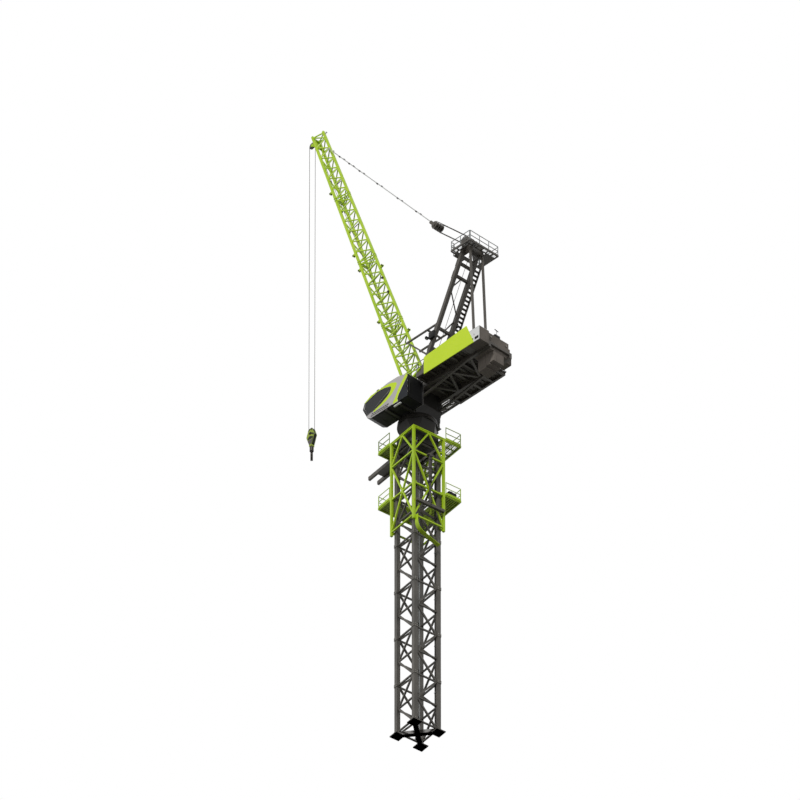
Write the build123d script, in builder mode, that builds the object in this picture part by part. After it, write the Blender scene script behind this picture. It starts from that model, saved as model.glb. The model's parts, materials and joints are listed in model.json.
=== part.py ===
from build123d import *
from math import ceil, cos, radians, sin
import os

# Tower crane with a luffing jib, as a scale model at one half of the real size.
# Millimetres, +Z up. The origin is on the ground under the middle of the mast, +X runs out
# under the jib and +Y is the side that carries the driver's cab.

# Ground frame and mast
BASE_HEIGHT = 150  # height of the cross beams that the mast stands on
BASE_BEAM = 200  # width of a cross beam
FOOT_SIZE = 420  # side of a square foot plate
FOOT_THICK = 40
ANCHOR_CIRCLE = 350  # diameter of the circle of anchor holes in one foot
ANCHOR_RADIUS = 16
ANCHOR_COUNT = 4
MAST_TURN = -7.3  # degrees that the mast stands turned about Z against the upper works
MAST_WIDTH = 1250  # over the outside of the legs
SECTION_COUNT = 6
SECTION_HEIGHT = 2225
LEG_SIZE = 160
COLLAR_LIP = 12  # how far a joint collar stands out of a leg
COLLAR_HEIGHT = 150
LACING_WIDTH = 76
STRUT_WIDTH = 60
LACING_DEPTH = 60

# Climbing cage around the mast
CAGE_SPACING = 1400  # between the centres of the posts
POST_SIZE = 92
CAGE_RISE = 500  # of the top ring above the mast
CAGE_TOP_BAY = 1150  # heights of the bays between the four rings
CAGE_BAY = 1550
CAGE_TAIL = 190  # of a post below the lowest ring
CAGE_BAR = 62
SHOE_HEIGHT = 60  # of a guide shoe between a post and a mast leg
SHOE_WIDTH = 140
TOP_SHOE_DROP = 200  # of the upper guide shoes below the top of the mast
WALK_WIDTH = 760  # of a walkway outside the cage
CAGE_HOLE_GAP = 20  # between the mast and the hole in the upper walkway
PLATFORM_THICK = 40
PLATFORM_BEAM = 50
RAIL_HEIGHT = 560
RAIL_BAR = 22
RAIL_SPACING = 700
GRATE_BAR = 40  # between the open cells of a grated floor
WALK_CELLS = (6, 2)  # along and across the walkway outside the right side of the cage
ENTRY_RAIL_REACH = 2780  # how far the section rails stick out from the mast axis
ENTRY_RAIL_SPREAD = 420
ENTRY_RAIL_WIDTH = 90
ENTRY_RAIL_DEPTH = 160
ENTRY_PLATE_REACH = 2350
ENTRY_PLATE_THICK = 24
CYLINDER_RADIUS = 60
CYLINDER_GAP = 260  # between the middle ring and the foot of the cylinder
ROD_RADIUS = 36
CROSSHEAD_RISE = 640  # above the lowest ring
CROSSHEAD_HEIGHT = 120
CHUTE_DROP = 300
CHUTE_RADIUS = 480
CHUTE_BEND = 70  # degrees
CHUTE_RUN = 780
CHUTE_DEPTH = 180
CHUTE_THICK = 20

# Slewing support, bearing and turntable
SUPPORT_HEIGHT = 1180
SUPPORT_FLANGE = 60
SUPPORT_INSET = 60  # of the box of the support from its foot flange
SUPPORT_CORNER = 200
SUPPORT_CLEAR = 60  # height of the straight box above the upper walkway
BEARING_RADIUS = 780
BEARING_HEIGHT = 100
BEARING_INSET = 30
BEARING_RING = 140  # between the inside and the outside of the bearing
RUNNING_GAP = 0.5  # between faces that turn or roll on each other
TURNTABLE_FRONT = 500
TURNTABLE_REAR = -700
TURNTABLE_HALF_WIDTH = 600
TURNTABLE_HEIGHT = 1219.5
TURNTABLE_FLANGE = 60
TURNTABLE_INSET = 20
TURNTABLE_CHIN = (120, 420)  # how far back and up its front lower edge is cut away
TURNTABLE_HEEL = (180, 500)

# Counter jib, its deck and what stands on it
DECK_LEFT = 1100
DECK_RIGHT = -1240
COUNTER_JIB_END = -4500
GIRDER_Y = 540
GIRDER_WIDTH = 120
GIRDER_DEPTH = 250
CROSS_BEAM_DEPTH = 110
CROSS_BEAM_WIDTH = 90
CROSS_BEAM_COUNT = 5
DECK_THICK = 20
DECK_FRONT = -1060  # where the deck gets its full width, behind the cab
DECK_END = -3545
STRUT_SIZE = 80
STRUT_DROP = 600  # from the deck to where the raking struts leave the turntable
STRUT_OVERRUN = 300
STRUT_REACH = -3000
BANNER_FRONT = -1500
BANNER_REAR = -4200
BANNER_DROP = 200  # of the panel's sill below the deck
BANNER_HEIGHT = 817
BANNER_RISE = 183  # how much higher the panel is at its rear
BANNER_SLANT = 390  # how far the rear edge leans forward on its way up
BANNER_CORNER = 30  # chamfer of the front top corner
BANNER_THICK = 24
CABINET_LENGTH = 600
CABINET_DROP = 170  # of its floor below the deck
CABINET_HEIGHT = 610
WEIGHT_THICK = 205
WEIGHT_GAP = 6
WEIGHT_SIDE_GAP = 8  # between a weight and the girders
WEIGHT_LEFT = 590
WEIGHT_RIGHTS = (-520, -800, -1080, -1080)  # right edges of the weights, from the rear
WEIGHT_DROPS = (700, 760, 820, 820)  # how far each weight hangs below the top of the girders
WEIGHT_WAIST = 265  # half the width of the hanging part
WEIGHT_RISE = 480
DRUM_RADIUS = 210
DRUM_LENGTH = 760
DRUM_CORE = 0.7  # share of the flange radius
DRUM_FLANGE = 30
LUFF_DRUM = 0.8  # size of the luffing drum against the hoist drum
WINCH_PLATE = 40
WINCH_GAP = 10  # between a frame plate and the drum
WINCH_FOOT = 60  # how far the frame reaches past the drum, down and sideways
SHAFT_RADIUS = 30
MOTOR_SHARE = 0.6
MOTOR_LENGTH = 220
HOIST_WINCH_X = -2900
LUFF_WINCH_X = -1750

# Driver's cab
CAB_SIDE = 1500  # outer face
CAB_WIDTH = 825
CAB_CLEAR = 80  # between the bearing and the floor of the cab
CAB_NOSE = 1425
CAB_PROFILE = (  # corners of its side, back from the nose and up from the floor
    (2425, 0),
    (2425, 1060),
    (1870, 1200),
    (1345, 1205),
    (745, 1110),
    (95, 935),
    (0, 650),
    (250, 130),
    (480, 0),
)
WINDOW_PROFILE = (  # corners of the side window, in the same way
    (1512, 820),
    (1512, 920),
    (1191, 1030),
    (798, 1075),
    (356, 960),
    (135, 890),
    (90, 640),
    (265, 300),
    (536, 320),
    (716, 420),
    (1125, 650),
)
CAB_WALL = 22
GLASS_THICK = 8
NOSE_PILLAR = 60  # solid corner on each side of the windscreen
NOSE_SILL = 240
NOSE_HEIGHT = 650
NOSE_GLASS = 600  # how far the windscreen reaches fore and aft
NOSE_SETBACK = 70
CAB_BRACKET_DEPTH = 75
CAB_BRACKET_WIDTH = 100
CAB_BRACKET_RISE = 700
CAB_BRACKETS = (-450, 150)  # X of the two brackets that carry the cab

# A-frame
A_LEG_SIZE = 140
A_LEG_Y = 350
A_FOOT_X = -250
A_HEAD_X = -3050
A_HEAD_RISE = 5850  # of the tops of the legs above the deck
A_LEG_SINK = 0.03  # share by which a leg starts too low, to be cut off at the deck
A_BEAM = 100
A_BEAMS = (0.3, 0.43, 0.77, 0.85)  # shares of the leg's height
A_BRACE = 40
A_BRACES = ((0.05, 0.28), (0.671, 0.558))  # shares where each brace leaves the left leg and meets the right
A_KNEES = ((1, 0.7, 0.77), (-1, 0.511, 0.43))  # side, share of the leg and share of the beam of each knee
STAY_HEAD_RISE = 5524
STAY_SIZE = 76
STAY_FOOT_X = -3450
STAY_HEAD_X = -3200
STAY_SEAT_GAP = 20  # round a stay where it passes the deck
CHEEK_THICK = 40
CHEEK_REAR = 60  # how far a cheek plate reaches behind the stay
CHEEK_FRONT = 420
CHEEK_DROP = 180
CHEEK_RISE = 298  # of its rear corner above the head floor
SPREADER_SIZE = 200
AXLE_RADIUS = 34
SHEAVE_COUNT = 4
HEAD_SHEAVE_X = -2800
HEAD_SHEAVE_RISE = 6100
TREAD_RISE = 160
STAIR_WIDTH = 235
STRINGER = 20
STRINGER_DEPTH = 110
STAIR_START = 0.01  # share of the leg's height where the stair starts
TREAD_DEPTH = 110
TREAD_THICK = 12
HEAD_RISE = 5450  # of the head platform above the deck
HEAD_THICK = 30
HEAD_FRONT = -2450  # edges of the head platform
HEAD_REAR = -3500
HEAD_LEFT = 620
HEAD_RIGHT = -900
HEAD_RAIL_HEIGHT = 460
HATCH_LENGTH = 430
WELL_FRONT = 185  # from the sheave axle to the front of the well
WELL_GAP = 15
BACKSTOP_RISE = 2700
BACKSTOP_X = 250
BACKSTOP_SIZE = 60
BACKSTOP_BRACE = 0.25  # share of the leg's height where the brace of a backstop arm starts
BACKSTOP_CROSS = 640  # from the leg to the bar between the two arms

# Jib, set in its own frame: s along it, y across and n square to its two lower chords
LUFF_ANGLE = 71.0  # degrees above the horizon at rest
PIVOT_X = 225
PIVOT_RISE = 400  # above the top of the turntable
JIB_LENGTH = 16500
JIB_TAPER_LENGTH = 35400  # where the three chords would meet
JIB_WIDTH = 664  # between the lower chords at the pivot
JIB_DEPTH = 798
JIB_FOOT_LENGTH = 900
FOOT_CHORD_START = 130  # where the chords start beyond the fork plates
JIB_SECTION_COUNT = 4
JIB_BAYS = 6  # bays of lacing in one section
JIB_END_INSET = 70
CHORD_SIZE = 86
JIB_LACING = 38
EYE_RADIUS = 85
EYE_WIDTH = 60
PIN_RADIUS = 34
PIN_GAP = 0.3
EYE_GAP = 6
FORK_PLATE = 30
PENDANT_BACK = 1250  # from the tip back to the pendant pin
PENDANT_Y = 120
PENDANT_SIZE = 20
PENDANT_PIN = 22
PENDANT_EYE = 46
TIP_FORK = 20
FORK_REACH = 420

# Ropes, sheaves and the hook
ROPE_SIZE = 18
SHEAVE_RADIUS = 148
SHEAVE_THICK = 36
TIP_SHEAVE_BACK = 150  # from the tip back to the sheave
TIP_SHEAVE_N = -250
BLOCK_X = -1115
BLOCK_RISE = 1700  # of the floating block above the head sheaves
FALL_SPACING = 120
HOOK_DROP = 14110  # from the tip sheave down to the sheave of the hook block
HOOK_CHEEK = 24
BLOCK_LENGTH = 260  # from the sheave axle of the floating block to its pendant pin
BLOCK_FOOT = 65  # half widths of the hook block at its foot, widest place and top
BLOCK_WAIST = 210
BLOCK_CROWN = 90
BLOCK_WAIST_DROP = 110  # of the widest place below the sheave axle
BLOCK_HEAD = 235
BLOCK_GAP = 55  # half the distance between the cheeks of the hook block
CROSSHEAD_DROP = 385
CROSSHEAD_THICK = 80
NUT_LIP = 14
NUT_HEIGHT = 40
KNUCKLE_RADIUS = 80
KNUCKLE_HEIGHT = 190
KNUCKLE_GAP = 25
SHANK_DROP = 279
HOOK_SHANK_RADIUS = 34
HOOK_EYE_RADIUS = 150
HOOK_THICK = 95
HOOK_WRAP = 255  # degrees of the bowl
HOOK_TURN = -44  # of the hook on its swivel, in degrees

# Places that follow from the sizes above
MAST_TOP = BASE_HEIGHT + SECTION_COUNT * SECTION_HEIGHT
LEG_OFFSET = (MAST_WIDTH - LEG_SIZE) / 2
BAY_WIDTH = MAST_WIDTH - 2 * LEG_SIZE
CAGE_RING_4 = MAST_TOP + CAGE_RISE
CAGE_RING_3 = CAGE_RING_4 - CAGE_TOP_BAY
CAGE_RING_2 = CAGE_RING_3 - CAGE_BAY
CAGE_RING_1 = CAGE_RING_2 - CAGE_BAY
CAGE_BOTTOM = CAGE_RING_1 - CAGE_TAIL
CROSSHEAD_LEVEL = CAGE_RING_1 + CROSSHEAD_RISE
MAST_FRAME = Plane.XY.rotated((0, 0, MAST_TURN))
SUPPORT_TOP = MAST_TOP + SUPPORT_HEIGHT
BEARING_TOP = SUPPORT_TOP + BEARING_HEIGHT
TURNTABLE_BOTTOM = BEARING_TOP + RUNNING_GAP
TURNTABLE_TOP = TURNTABLE_BOTTOM + TURNTABLE_HEIGHT
GIRDER_BOTTOM = TURNTABLE_TOP - GIRDER_DEPTH
GIRDER_SIDE = GIRDER_Y + GIRDER_WIDTH / 2
CAB_FLOOR = BEARING_TOP + CAB_CLEAR
CAB_INNER = CAB_SIDE - CAB_WIDTH
HEAD_FLOOR = TURNTABLE_TOP + HEAD_RISE
HEAD_SHEAVE_Z = TURNTABLE_TOP + HEAD_SHEAVE_RISE
BLOCK_Z = HEAD_SHEAVE_Z + BLOCK_RISE
PIVOT_Z = TURNTABLE_TOP + PIVOT_RISE
PENDANT_S = JIB_LENGTH - PENDANT_BACK
TIP_SHEAVE_S = JIB_LENGTH - TIP_SHEAVE_BACK
LEG_INNER = A_LEG_Y - A_LEG_SIZE / 2
STAY_Y = LEG_INNER + STAY_SIZE / 2
JIB_FRAME = Plane(
    origin=(PIVOT_X, 0, PIVOT_Z),
    x_dir=(cos(radians(LUFF_ANGLE)), 0, sin(radians(LUFF_ANGLE))),
    z_dir=(-sin(radians(LUFF_ANGLE)), 0, cos(radians(LUFF_ANGLE))),
)
TIP = JIB_FRAME.from_local_coords((TIP_SHEAVE_S, 0, TIP_SHEAVE_N))
HOOK_SHEAVE_Z = TIP.Z - HOOK_DROP
ROPE_OFFSET = SHEAVE_RADIUS + ROPE_SIZE / 2 + RUNNING_GAP


def across(start, end, side=(0, 0, 1)):
    """The plane across a straight member, at its start and facing its end."""
    run = Vector(*end) - Vector(*start)
    x_dir = Vector(*side).cross(run)
    if x_dir.length < 1e-3 * run.length:
        x_dir = Vector(1, 0, 0)
    return Plane(origin=start, x_dir=x_dir, z_dir=run)


def bars(lines, width, depth, side=(0, 0, 1)):
    """Straight members of one section along lines, ready to be joined where they cross."""
    members = []
    for start, end in lines:
        with BuildPart() as member:
            with BuildSketch(across(start, end, side)):
                Rectangle(width, depth)
            extrude(amount=(Vector(*end) - Vector(*start)).length)
        members.append(member.part)
    return members


def save(part, name):
    """Labels a finished piece and writes it to its own file."""
    part.label = name
    export_step(part, f"parts/{name}.step")


def in_mast(x, y, z):
    """A point given along and across the turned mast."""
    return tuple(MAST_FRAME.from_local_coords((x, y, z)))


def in_jib(s, y, n):
    """A point given along, across and above the jib's lower chords."""
    return tuple(JIB_FRAME.from_local_coords((s, y, n)))


def jib_share(s):
    """How wide the jib still is at s, as a share of its width at the pivot."""
    return 1 - s / JIB_TAPER_LENGTH


def lower_chord(s, hand):
    """A point on the middle line of one lower chord."""
    return in_jib(s, hand * JIB_WIDTH / 2 * jib_share(s), 0)


def apex_chord(s):
    """A point on the middle line of the upper chord."""
    return in_jib(s, 0, JIB_DEPTH * jib_share(s))


def side_plane(turn, reach):
    """The upright plane at reach from the middle of the turned mast, facing outwards."""
    frame = Plane.XY.rotated((0, 0, MAST_TURN + turn))
    return Plane(origin=frame.from_local_coords((0, reach, 0)), x_dir=-frame.x_dir, z_dir=frame.y_dir)


def upright(y):
    """The plane of X and Z at y, with its faces growing towards -Y."""
    return Plane.XZ.offset(-y)


def jib_upright(y):
    """The plane along the jib and square to its lower chords, at y."""
    return Plane(origin=in_jib(0, y, 0), x_dir=JIB_FRAME.x_dir, z_dir=-JIB_FRAME.y_dir)


def rods(lines, radius):
    """Round members along lines."""
    members = []
    for start, end in lines:
        with BuildPart() as member:
            with BuildSketch(across(start, end)):
                Circle(radius)
            extrude(amount=(Vector(*end) - Vector(*start)).length)
        members.append(member.part)
    return members


def railing(corners, floor, height):
    """Railing panels along an open row of corners, one apart from the next at each corner."""
    panels = []
    for start, end in zip(corners, corners[1:]):
        start, end = Vector(*start, floor), Vector(*end, floor)
        inset = (end - start).normalized() * RAIL_BAR
        start, run = start + inset, end - start - inset * 2
        lines = []
        for level in (height / 2, height - RAIL_BAR / 2):
            step = Vector(0, 0, level)
            lines.append((tuple(start + step), tuple(start + run + step)))
        count = ceil(run.length / RAIL_SPACING)
        for i in range(count + 1):
            foot = start + run * (i / count)
            lines.append((tuple(foot), tuple(foot + Vector(0, 0, height))))
        members = bars(lines, RAIL_BAR, RAIL_BAR)
        with BuildPart() as panel:
            add(members)
        panels.append(panel.part)
    return panels


def grate_cells(x_range, y_range, columns, rows):
    """Middles and size of the open cells between the bars of a grated floor."""
    pitch_x = (x_range[1] - x_range[0] - GRATE_BAR) / columns
    pitch_y = (y_range[1] - y_range[0] - GRATE_BAR) / rows
    middles = [
        (x_range[0] + GRATE_BAR / 2 + (i + 0.5) * pitch_x, y_range[0] + GRATE_BAR / 2 + (j + 0.5) * pitch_y)
        for i in range(columns)
        for j in range(rows)
    ]
    return middles, (pitch_x - GRATE_BAR, pitch_y - GRATE_BAR)


def cab_corners(profile):
    """Corners of a cab outline in X and Z, from distances back from the nose and up from the floor."""
    return [(CAB_NOSE - back, CAB_FLOOR + up) for back, up in profile]


os.makedirs("parts", exist_ok=True)

# Ground frame: two crossed beams with a foot plate and a leg seat at each end
with BuildPart() as base_frame:
    with BuildSketch(MAST_FRAME):
        with Locations(Rot(0, 0, 45), Rot(0, 0, -45)):
            Rectangle(2 * LEG_OFFSET * 2**0.5, BASE_BEAM)
    extrude(amount=BASE_HEIGHT)
    with BuildSketch(MAST_FRAME):
        with GridLocations(2 * LEG_OFFSET, 2 * LEG_OFFSET, 2, 2):
            Rectangle(FOOT_SIZE, FOOT_SIZE)
    extrude(amount=FOOT_THICK)
    with BuildSketch(MAST_FRAME):
        with GridLocations(2 * LEG_OFFSET, 2 * LEG_OFFSET, 2, 2):
            Rectangle(LEG_SIZE + 2 * COLLAR_LIP, LEG_SIZE + 2 * COLLAR_LIP)
    extrude(amount=BASE_HEIGHT)
    with BuildSketch(MAST_FRAME):
        with GridLocations(2 * LEG_OFFSET, 2 * LEG_OFFSET, 2, 2):
            with PolarLocations(ANCHOR_CIRCLE / 2, ANCHOR_COUNT):
                Circle(ANCHOR_RADIUS)
    extrude(amount=FOOT_THICK, mode=Mode.SUBTRACT)
save(base_frame.part, "base_frame")

# Four legs, each with a collar where two sections are pinned together
section_joints = [BASE_HEIGHT + i * SECTION_HEIGHT for i in range(1, SECTION_COUNT)]
with BuildPart() as mast_legs:
    with BuildSketch(MAST_FRAME.offset(BASE_HEIGHT)):
        with GridLocations(2 * LEG_OFFSET, 2 * LEG_OFFSET, 2, 2):
            Rectangle(LEG_SIZE, LEG_SIZE)
    extrude(amount=SECTION_COUNT * SECTION_HEIGHT)
    with BuildSketch(*[MAST_FRAME.offset(z - COLLAR_HEIGHT / 2) for z in section_joints]):
        with GridLocations(2 * LEG_OFFSET, 2 * LEG_OFFSET, 2, 2):
            Rectangle(LEG_SIZE + 2 * COLLAR_LIP, LEG_SIZE + 2 * COLLAR_LIP)
    extrude(amount=COLLAR_HEIGHT)
save(mast_legs.part, "mast_legs")

# Four flat sides of K lacing; each leg carries the point of the K of one side
half_bay = BAY_WIDTH / 2
for name, turn in (("left", 0), ("back", 90), ("right", 180), ("front", 270)):
    with BuildPart() as mast_side:
        with BuildSketch(side_plane(turn, LEG_OFFSET)):
            for i in range(SECTION_COUNT):
                foot = BASE_HEIGHT + i * SECTION_HEIGHT
                middle = foot + SECTION_HEIGHT / 2
                with BuildLine():
                    Polyline((half_bay, foot), (-half_bay, middle), (half_bay, foot + SECTION_HEIGHT))
                trace(line_width=LACING_WIDTH)
            with Locations(*[(0, BASE_HEIGHT + i * SECTION_HEIGHT / 2) for i in range(1, 2 * SECTION_COUNT)]):
                Rectangle(2 * LEG_OFFSET, STRUT_WIDTH)
            with Locations((0, BASE_HEIGHT + STRUT_WIDTH / 2), (0, MAST_TOP - STRUT_WIDTH / 2)):
                Rectangle(2 * LEG_OFFSET, STRUT_WIDTH)
            with Locations((0, (BASE_HEIGHT + MAST_TOP) / 2)):
                Rectangle(BAY_WIDTH, MAST_TOP - BASE_HEIGHT, mode=Mode.INTERSECT)
            with Locations(*[(x, z) for z in section_joints for x in (-half_bay, half_bay)]):
                Rectangle(2 * COLLAR_LIP, COLLAR_HEIGHT, mode=Mode.SUBTRACT)
        extrude(amount=LACING_DEPTH / 2, both=True)
    save(mast_side.part, f"mast_side_{name}")

# Climbing cage: posts that ride on the mast legs by guide shoes
half_cage = CAGE_SPACING / 2
cage_clear = CAGE_SPACING - POST_SIZE
cage_face = half_cage + POST_SIZE / 2
shoe_reach = half_cage - MAST_WIDTH / 2
shoe_levels = (CAGE_RING_1 - CAGE_BAR / 2 - SHOE_HEIGHT, CAGE_RING_2 + CAGE_BAR, MAST_TOP - TOP_SHOE_DROP)
with BuildPart() as cage_posts:
    with BuildSketch(MAST_FRAME.offset(CAGE_BOTTOM)):
        with GridLocations(CAGE_SPACING, CAGE_SPACING, 2, 2):
            Rectangle(POST_SIZE, POST_SIZE)
    extrude(amount=CAGE_RING_4 - CAGE_BOTTOM)
    with BuildSketch(*[MAST_FRAME.offset(z) for z in shoe_levels]):
        with GridLocations(MAST_WIDTH + shoe_reach, CAGE_SPACING - SHOE_WIDTH, 2, 2):
            Rectangle(shoe_reach, SHOE_WIDTH)
    extrude(amount=SHOE_HEIGHT)
save(cage_posts.part, "cage_posts")

# Flat sides of the cage. The front one is open above the lower walkway, where a section comes in
with BuildPart() as cage_sides:
    for turn in (0, 90, 180, 270):
        levels = [CAGE_RING_1, CAGE_RING_2]
        if turn < 270:
            levels += [CAGE_RING_3, CAGE_RING_4 - CAGE_BAR / 2]
        with BuildSketch(side_plane(turn, half_cage)):
            for i, (low, high) in enumerate(zip(levels, levels[1:])):
                point, ends = (high, low) if i % 2 == 0 else (low, high)
                with BuildLine():
                    Polyline((-half_cage, ends), (0, point), (half_cage, ends))
                trace(line_width=CAGE_BAR)
            with Locations(*[(0, z) for z in levels]):
                Rectangle(CAGE_SPACING, CAGE_BAR)
            with Locations((0, (levels[0] + levels[-1]) / 2)):
                Rectangle(cage_clear, levels[-1] - levels[0] + CAGE_BAR, mode=Mode.INTERSECT)
        extrude(amount=CAGE_BAR / 2, both=True)
save(cage_sides.part, "cage_sides")

# Walkways on the front and right sides of the cage, on beams that run in to the posts
walk_outer = cage_face + WALK_WIDTH
walk_levels = (CAGE_RING_2 + CAGE_BAR, CAGE_RING_4)
cell_middles, cell_size = grate_cells((-cage_face, walk_outer), (-walk_outer, -cage_face), *WALK_CELLS)
with BuildPart() as cage_platforms:
    for level, hole in zip(walk_levels, (2 * cage_face, MAST_WIDTH + 2 * CAGE_HOLE_GAP)):
        with BuildSketch(MAST_FRAME.offset(level)):
            with Locations((WALK_WIDTH / 2, -WALK_WIDTH / 2)):
                Rectangle(cage_face + walk_outer, cage_face + walk_outer)
            Rectangle(hole, hole, mode=Mode.SUBTRACT)
        extrude(amount=PLATFORM_THICK)
        with BuildSketch(MAST_FRAME.offset(level)):
            for y in (-half_cage, half_cage):
                with Locations((cage_face + WALK_WIDTH / 2, y)):
                    Rectangle(WALK_WIDTH, PLATFORM_BEAM)
            for x in (-half_cage, half_cage):
                with Locations((x, -cage_face - WALK_WIDTH / 2)):
                    Rectangle(PLATFORM_BEAM, WALK_WIDTH)
            for reach in (cage_face + PLATFORM_BEAM / 2, walk_outer - PLATFORM_BEAM / 2):
                with Locations((reach, (cage_face - walk_outer) / 2)):
                    Rectangle(PLATFORM_BEAM, cage_face + walk_outer)
                with Locations(((walk_outer - cage_face) / 2, -reach)):
                    Rectangle(cage_face + walk_outer, PLATFORM_BEAM)
        extrude(amount=-PLATFORM_BEAM)
    with BuildSketch(MAST_FRAME.offset(CAGE_RING_4)):
        with Locations(*cell_middles):
            Rectangle(*cell_size)
    extrude(amount=PLATFORM_THICK, mode=Mode.SUBTRACT)
save(cage_platforms.part, "cage_platforms")

# Railings along the open edges of both walkways
rail_in = RAIL_BAR / 2
walk_corners = [
    in_mast(x, y, 0)[:2]
    for x, y in (
        (cage_face + RAIL_BAR, cage_face - rail_in),
        (walk_outer - rail_in, cage_face - rail_in),
        (walk_outer - rail_in, rail_in - walk_outer),
        (rail_in - cage_face, rail_in - walk_outer),
        (rail_in - cage_face, -cage_face - RAIL_BAR),
    )
]
walk_rails = [railing(walk_corners, level + PLATFORM_THICK, RAIL_HEIGHT) for level in walk_levels]
with BuildPart() as cage_rails:
    for members in walk_rails:
        add(members)
save(cage_rails.part, "cage_rails")

# Hydraulic climbing cylinder on the back of the cage, with the crosshead that its rod pushes
cylinder_x = -half_cage - CAGE_BAR / 2 - CYLINDER_RADIUS
cylinder_foot = CAGE_RING_2 + CYLINDER_GAP
with BuildPart() as climbing_cylinder:
    with BuildSketch(MAST_FRAME.offset(CROSSHEAD_LEVEL)):
        with Locations((cylinder_x, 0)):
            Rectangle(2 * CYLINDER_RADIUS, cage_clear)
    extrude(amount=CROSSHEAD_HEIGHT)
    with BuildSketch(MAST_FRAME.offset(CROSSHEAD_LEVEL + CROSSHEAD_HEIGHT)):
        with Locations((cylinder_x, 0)):
            Circle(ROD_RADIUS)
    extrude(amount=cylinder_foot - CROSSHEAD_LEVEL - CROSSHEAD_HEIGHT)
    with BuildSketch(MAST_FRAME.offset(cylinder_foot)):
        with Locations((cylinder_x, 0)):
            Circle(CYLINDER_RADIUS)
    extrude(amount=CAGE_RING_3 + CAGE_BAR / 2 - cylinder_foot)
    with BuildSketch(MAST_FRAME.offset(CAGE_RING_3 - CAGE_BAR / 2)):
        with Locations((cylinder_x, 0)):
            Rectangle(2 * CYLINDER_RADIUS, 4 * CYLINDER_RADIUS)
    extrude(amount=CAGE_BAR)
save(climbing_cylinder.part, "climbing_cylinder")

# Rails under the upper walkway on which a new mast section rolls in, with a plate between them
rail_top = CAGE_RING_4 - PLATFORM_BEAM
with BuildPart() as entry_rails:
    with BuildSketch(MAST_FRAME.offset(rail_top - ENTRY_RAIL_DEPTH)):
        for hand in (-1, 1):
            with Locations(((cage_face + ENTRY_RAIL_REACH) / 2, hand * ENTRY_RAIL_SPREAD / 2)):
                Rectangle(ENTRY_RAIL_REACH - cage_face, ENTRY_RAIL_WIDTH)
    extrude(amount=ENTRY_RAIL_DEPTH)
    with BuildSketch(MAST_FRAME.offset(rail_top - ENTRY_RAIL_DEPTH / 2)):
        with Locations(((cage_face + ENTRY_PLATE_REACH) / 2, 0)):
            Rectangle(ENTRY_PLATE_REACH - cage_face, ENTRY_RAIL_SPREAD)
    extrude(amount=ENTRY_PLATE_THICK)
save(entry_rails.part, "entry_rails")

# Curved chute that hangs under the cage at the back
chute_plane = Plane(
    origin=in_mast(-half_cage, 0, CAGE_RING_1 - CAGE_BAR / 2),
    x_dir=-MAST_FRAME.y_dir,
    z_dir=-MAST_FRAME.x_dir,
)
chute_side = cage_clear / 2 - CHUTE_THICK
with BuildPart() as cable_chute:
    with BuildSketch(chute_plane):
        with BuildLine():
            drop = Line((-chute_side, 0), (-chute_side, -CHUTE_DROP))
            bend = JernArc(start=drop @ 1, tangent=drop % 1, radius=CHUTE_RADIUS, arc_size=CHUTE_BEND)
            Line(bend @ 1, (bend @ 1) + (bend % 1) * CHUTE_RUN)
        trace(line_width=CHUTE_THICK)
    extrude(amount=CHUTE_DEPTH)
save(cable_chute.part, "cable_chute")

# Slewing support: a square foot that runs into a round bearing seat
support_width = MAST_WIDTH - 2 * SUPPORT_INSET
support_waist = CAGE_RING_4 + PLATFORM_THICK + SUPPORT_CLEAR
with BuildPart() as slewing_support:
    with BuildSketch(MAST_FRAME.offset(MAST_TOP)):
        Rectangle(MAST_WIDTH, MAST_WIDTH)
    extrude(amount=SUPPORT_FLANGE)
    with BuildSketch(MAST_FRAME.offset(MAST_TOP + SUPPORT_FLANGE)):
        Rectangle(support_width, support_width)
    extrude(amount=support_waist - MAST_TOP - SUPPORT_FLANGE)
    with BuildSketch(MAST_FRAME.offset(support_waist)):
        Rectangle(support_width, support_width)
        chamfer(vertices(), SUPPORT_CORNER)
    with BuildSketch(MAST_FRAME.offset(SUPPORT_TOP - SUPPORT_FLANGE)):
        RegularPolygon(BEARING_RADIUS, 8, rotation=180 / 8)
    loft(ruled=True)
    with BuildSketch(Plane.XY.offset(SUPPORT_TOP - SUPPORT_FLANGE)):
        Circle(BEARING_RADIUS)
    extrude(amount=SUPPORT_FLANGE)
save(slewing_support.part, "slewing_support")

with BuildPart() as slewing_bearing:
    with BuildSketch(Plane.XY.offset(SUPPORT_TOP)):
        Circle(BEARING_RADIUS - BEARING_INSET)
        Circle(BEARING_RADIUS - BEARING_INSET - BEARING_RING, mode=Mode.SUBTRACT)
    extrude(amount=BEARING_HEIGHT)
save(slewing_bearing.part, "slewing_bearing")

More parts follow.
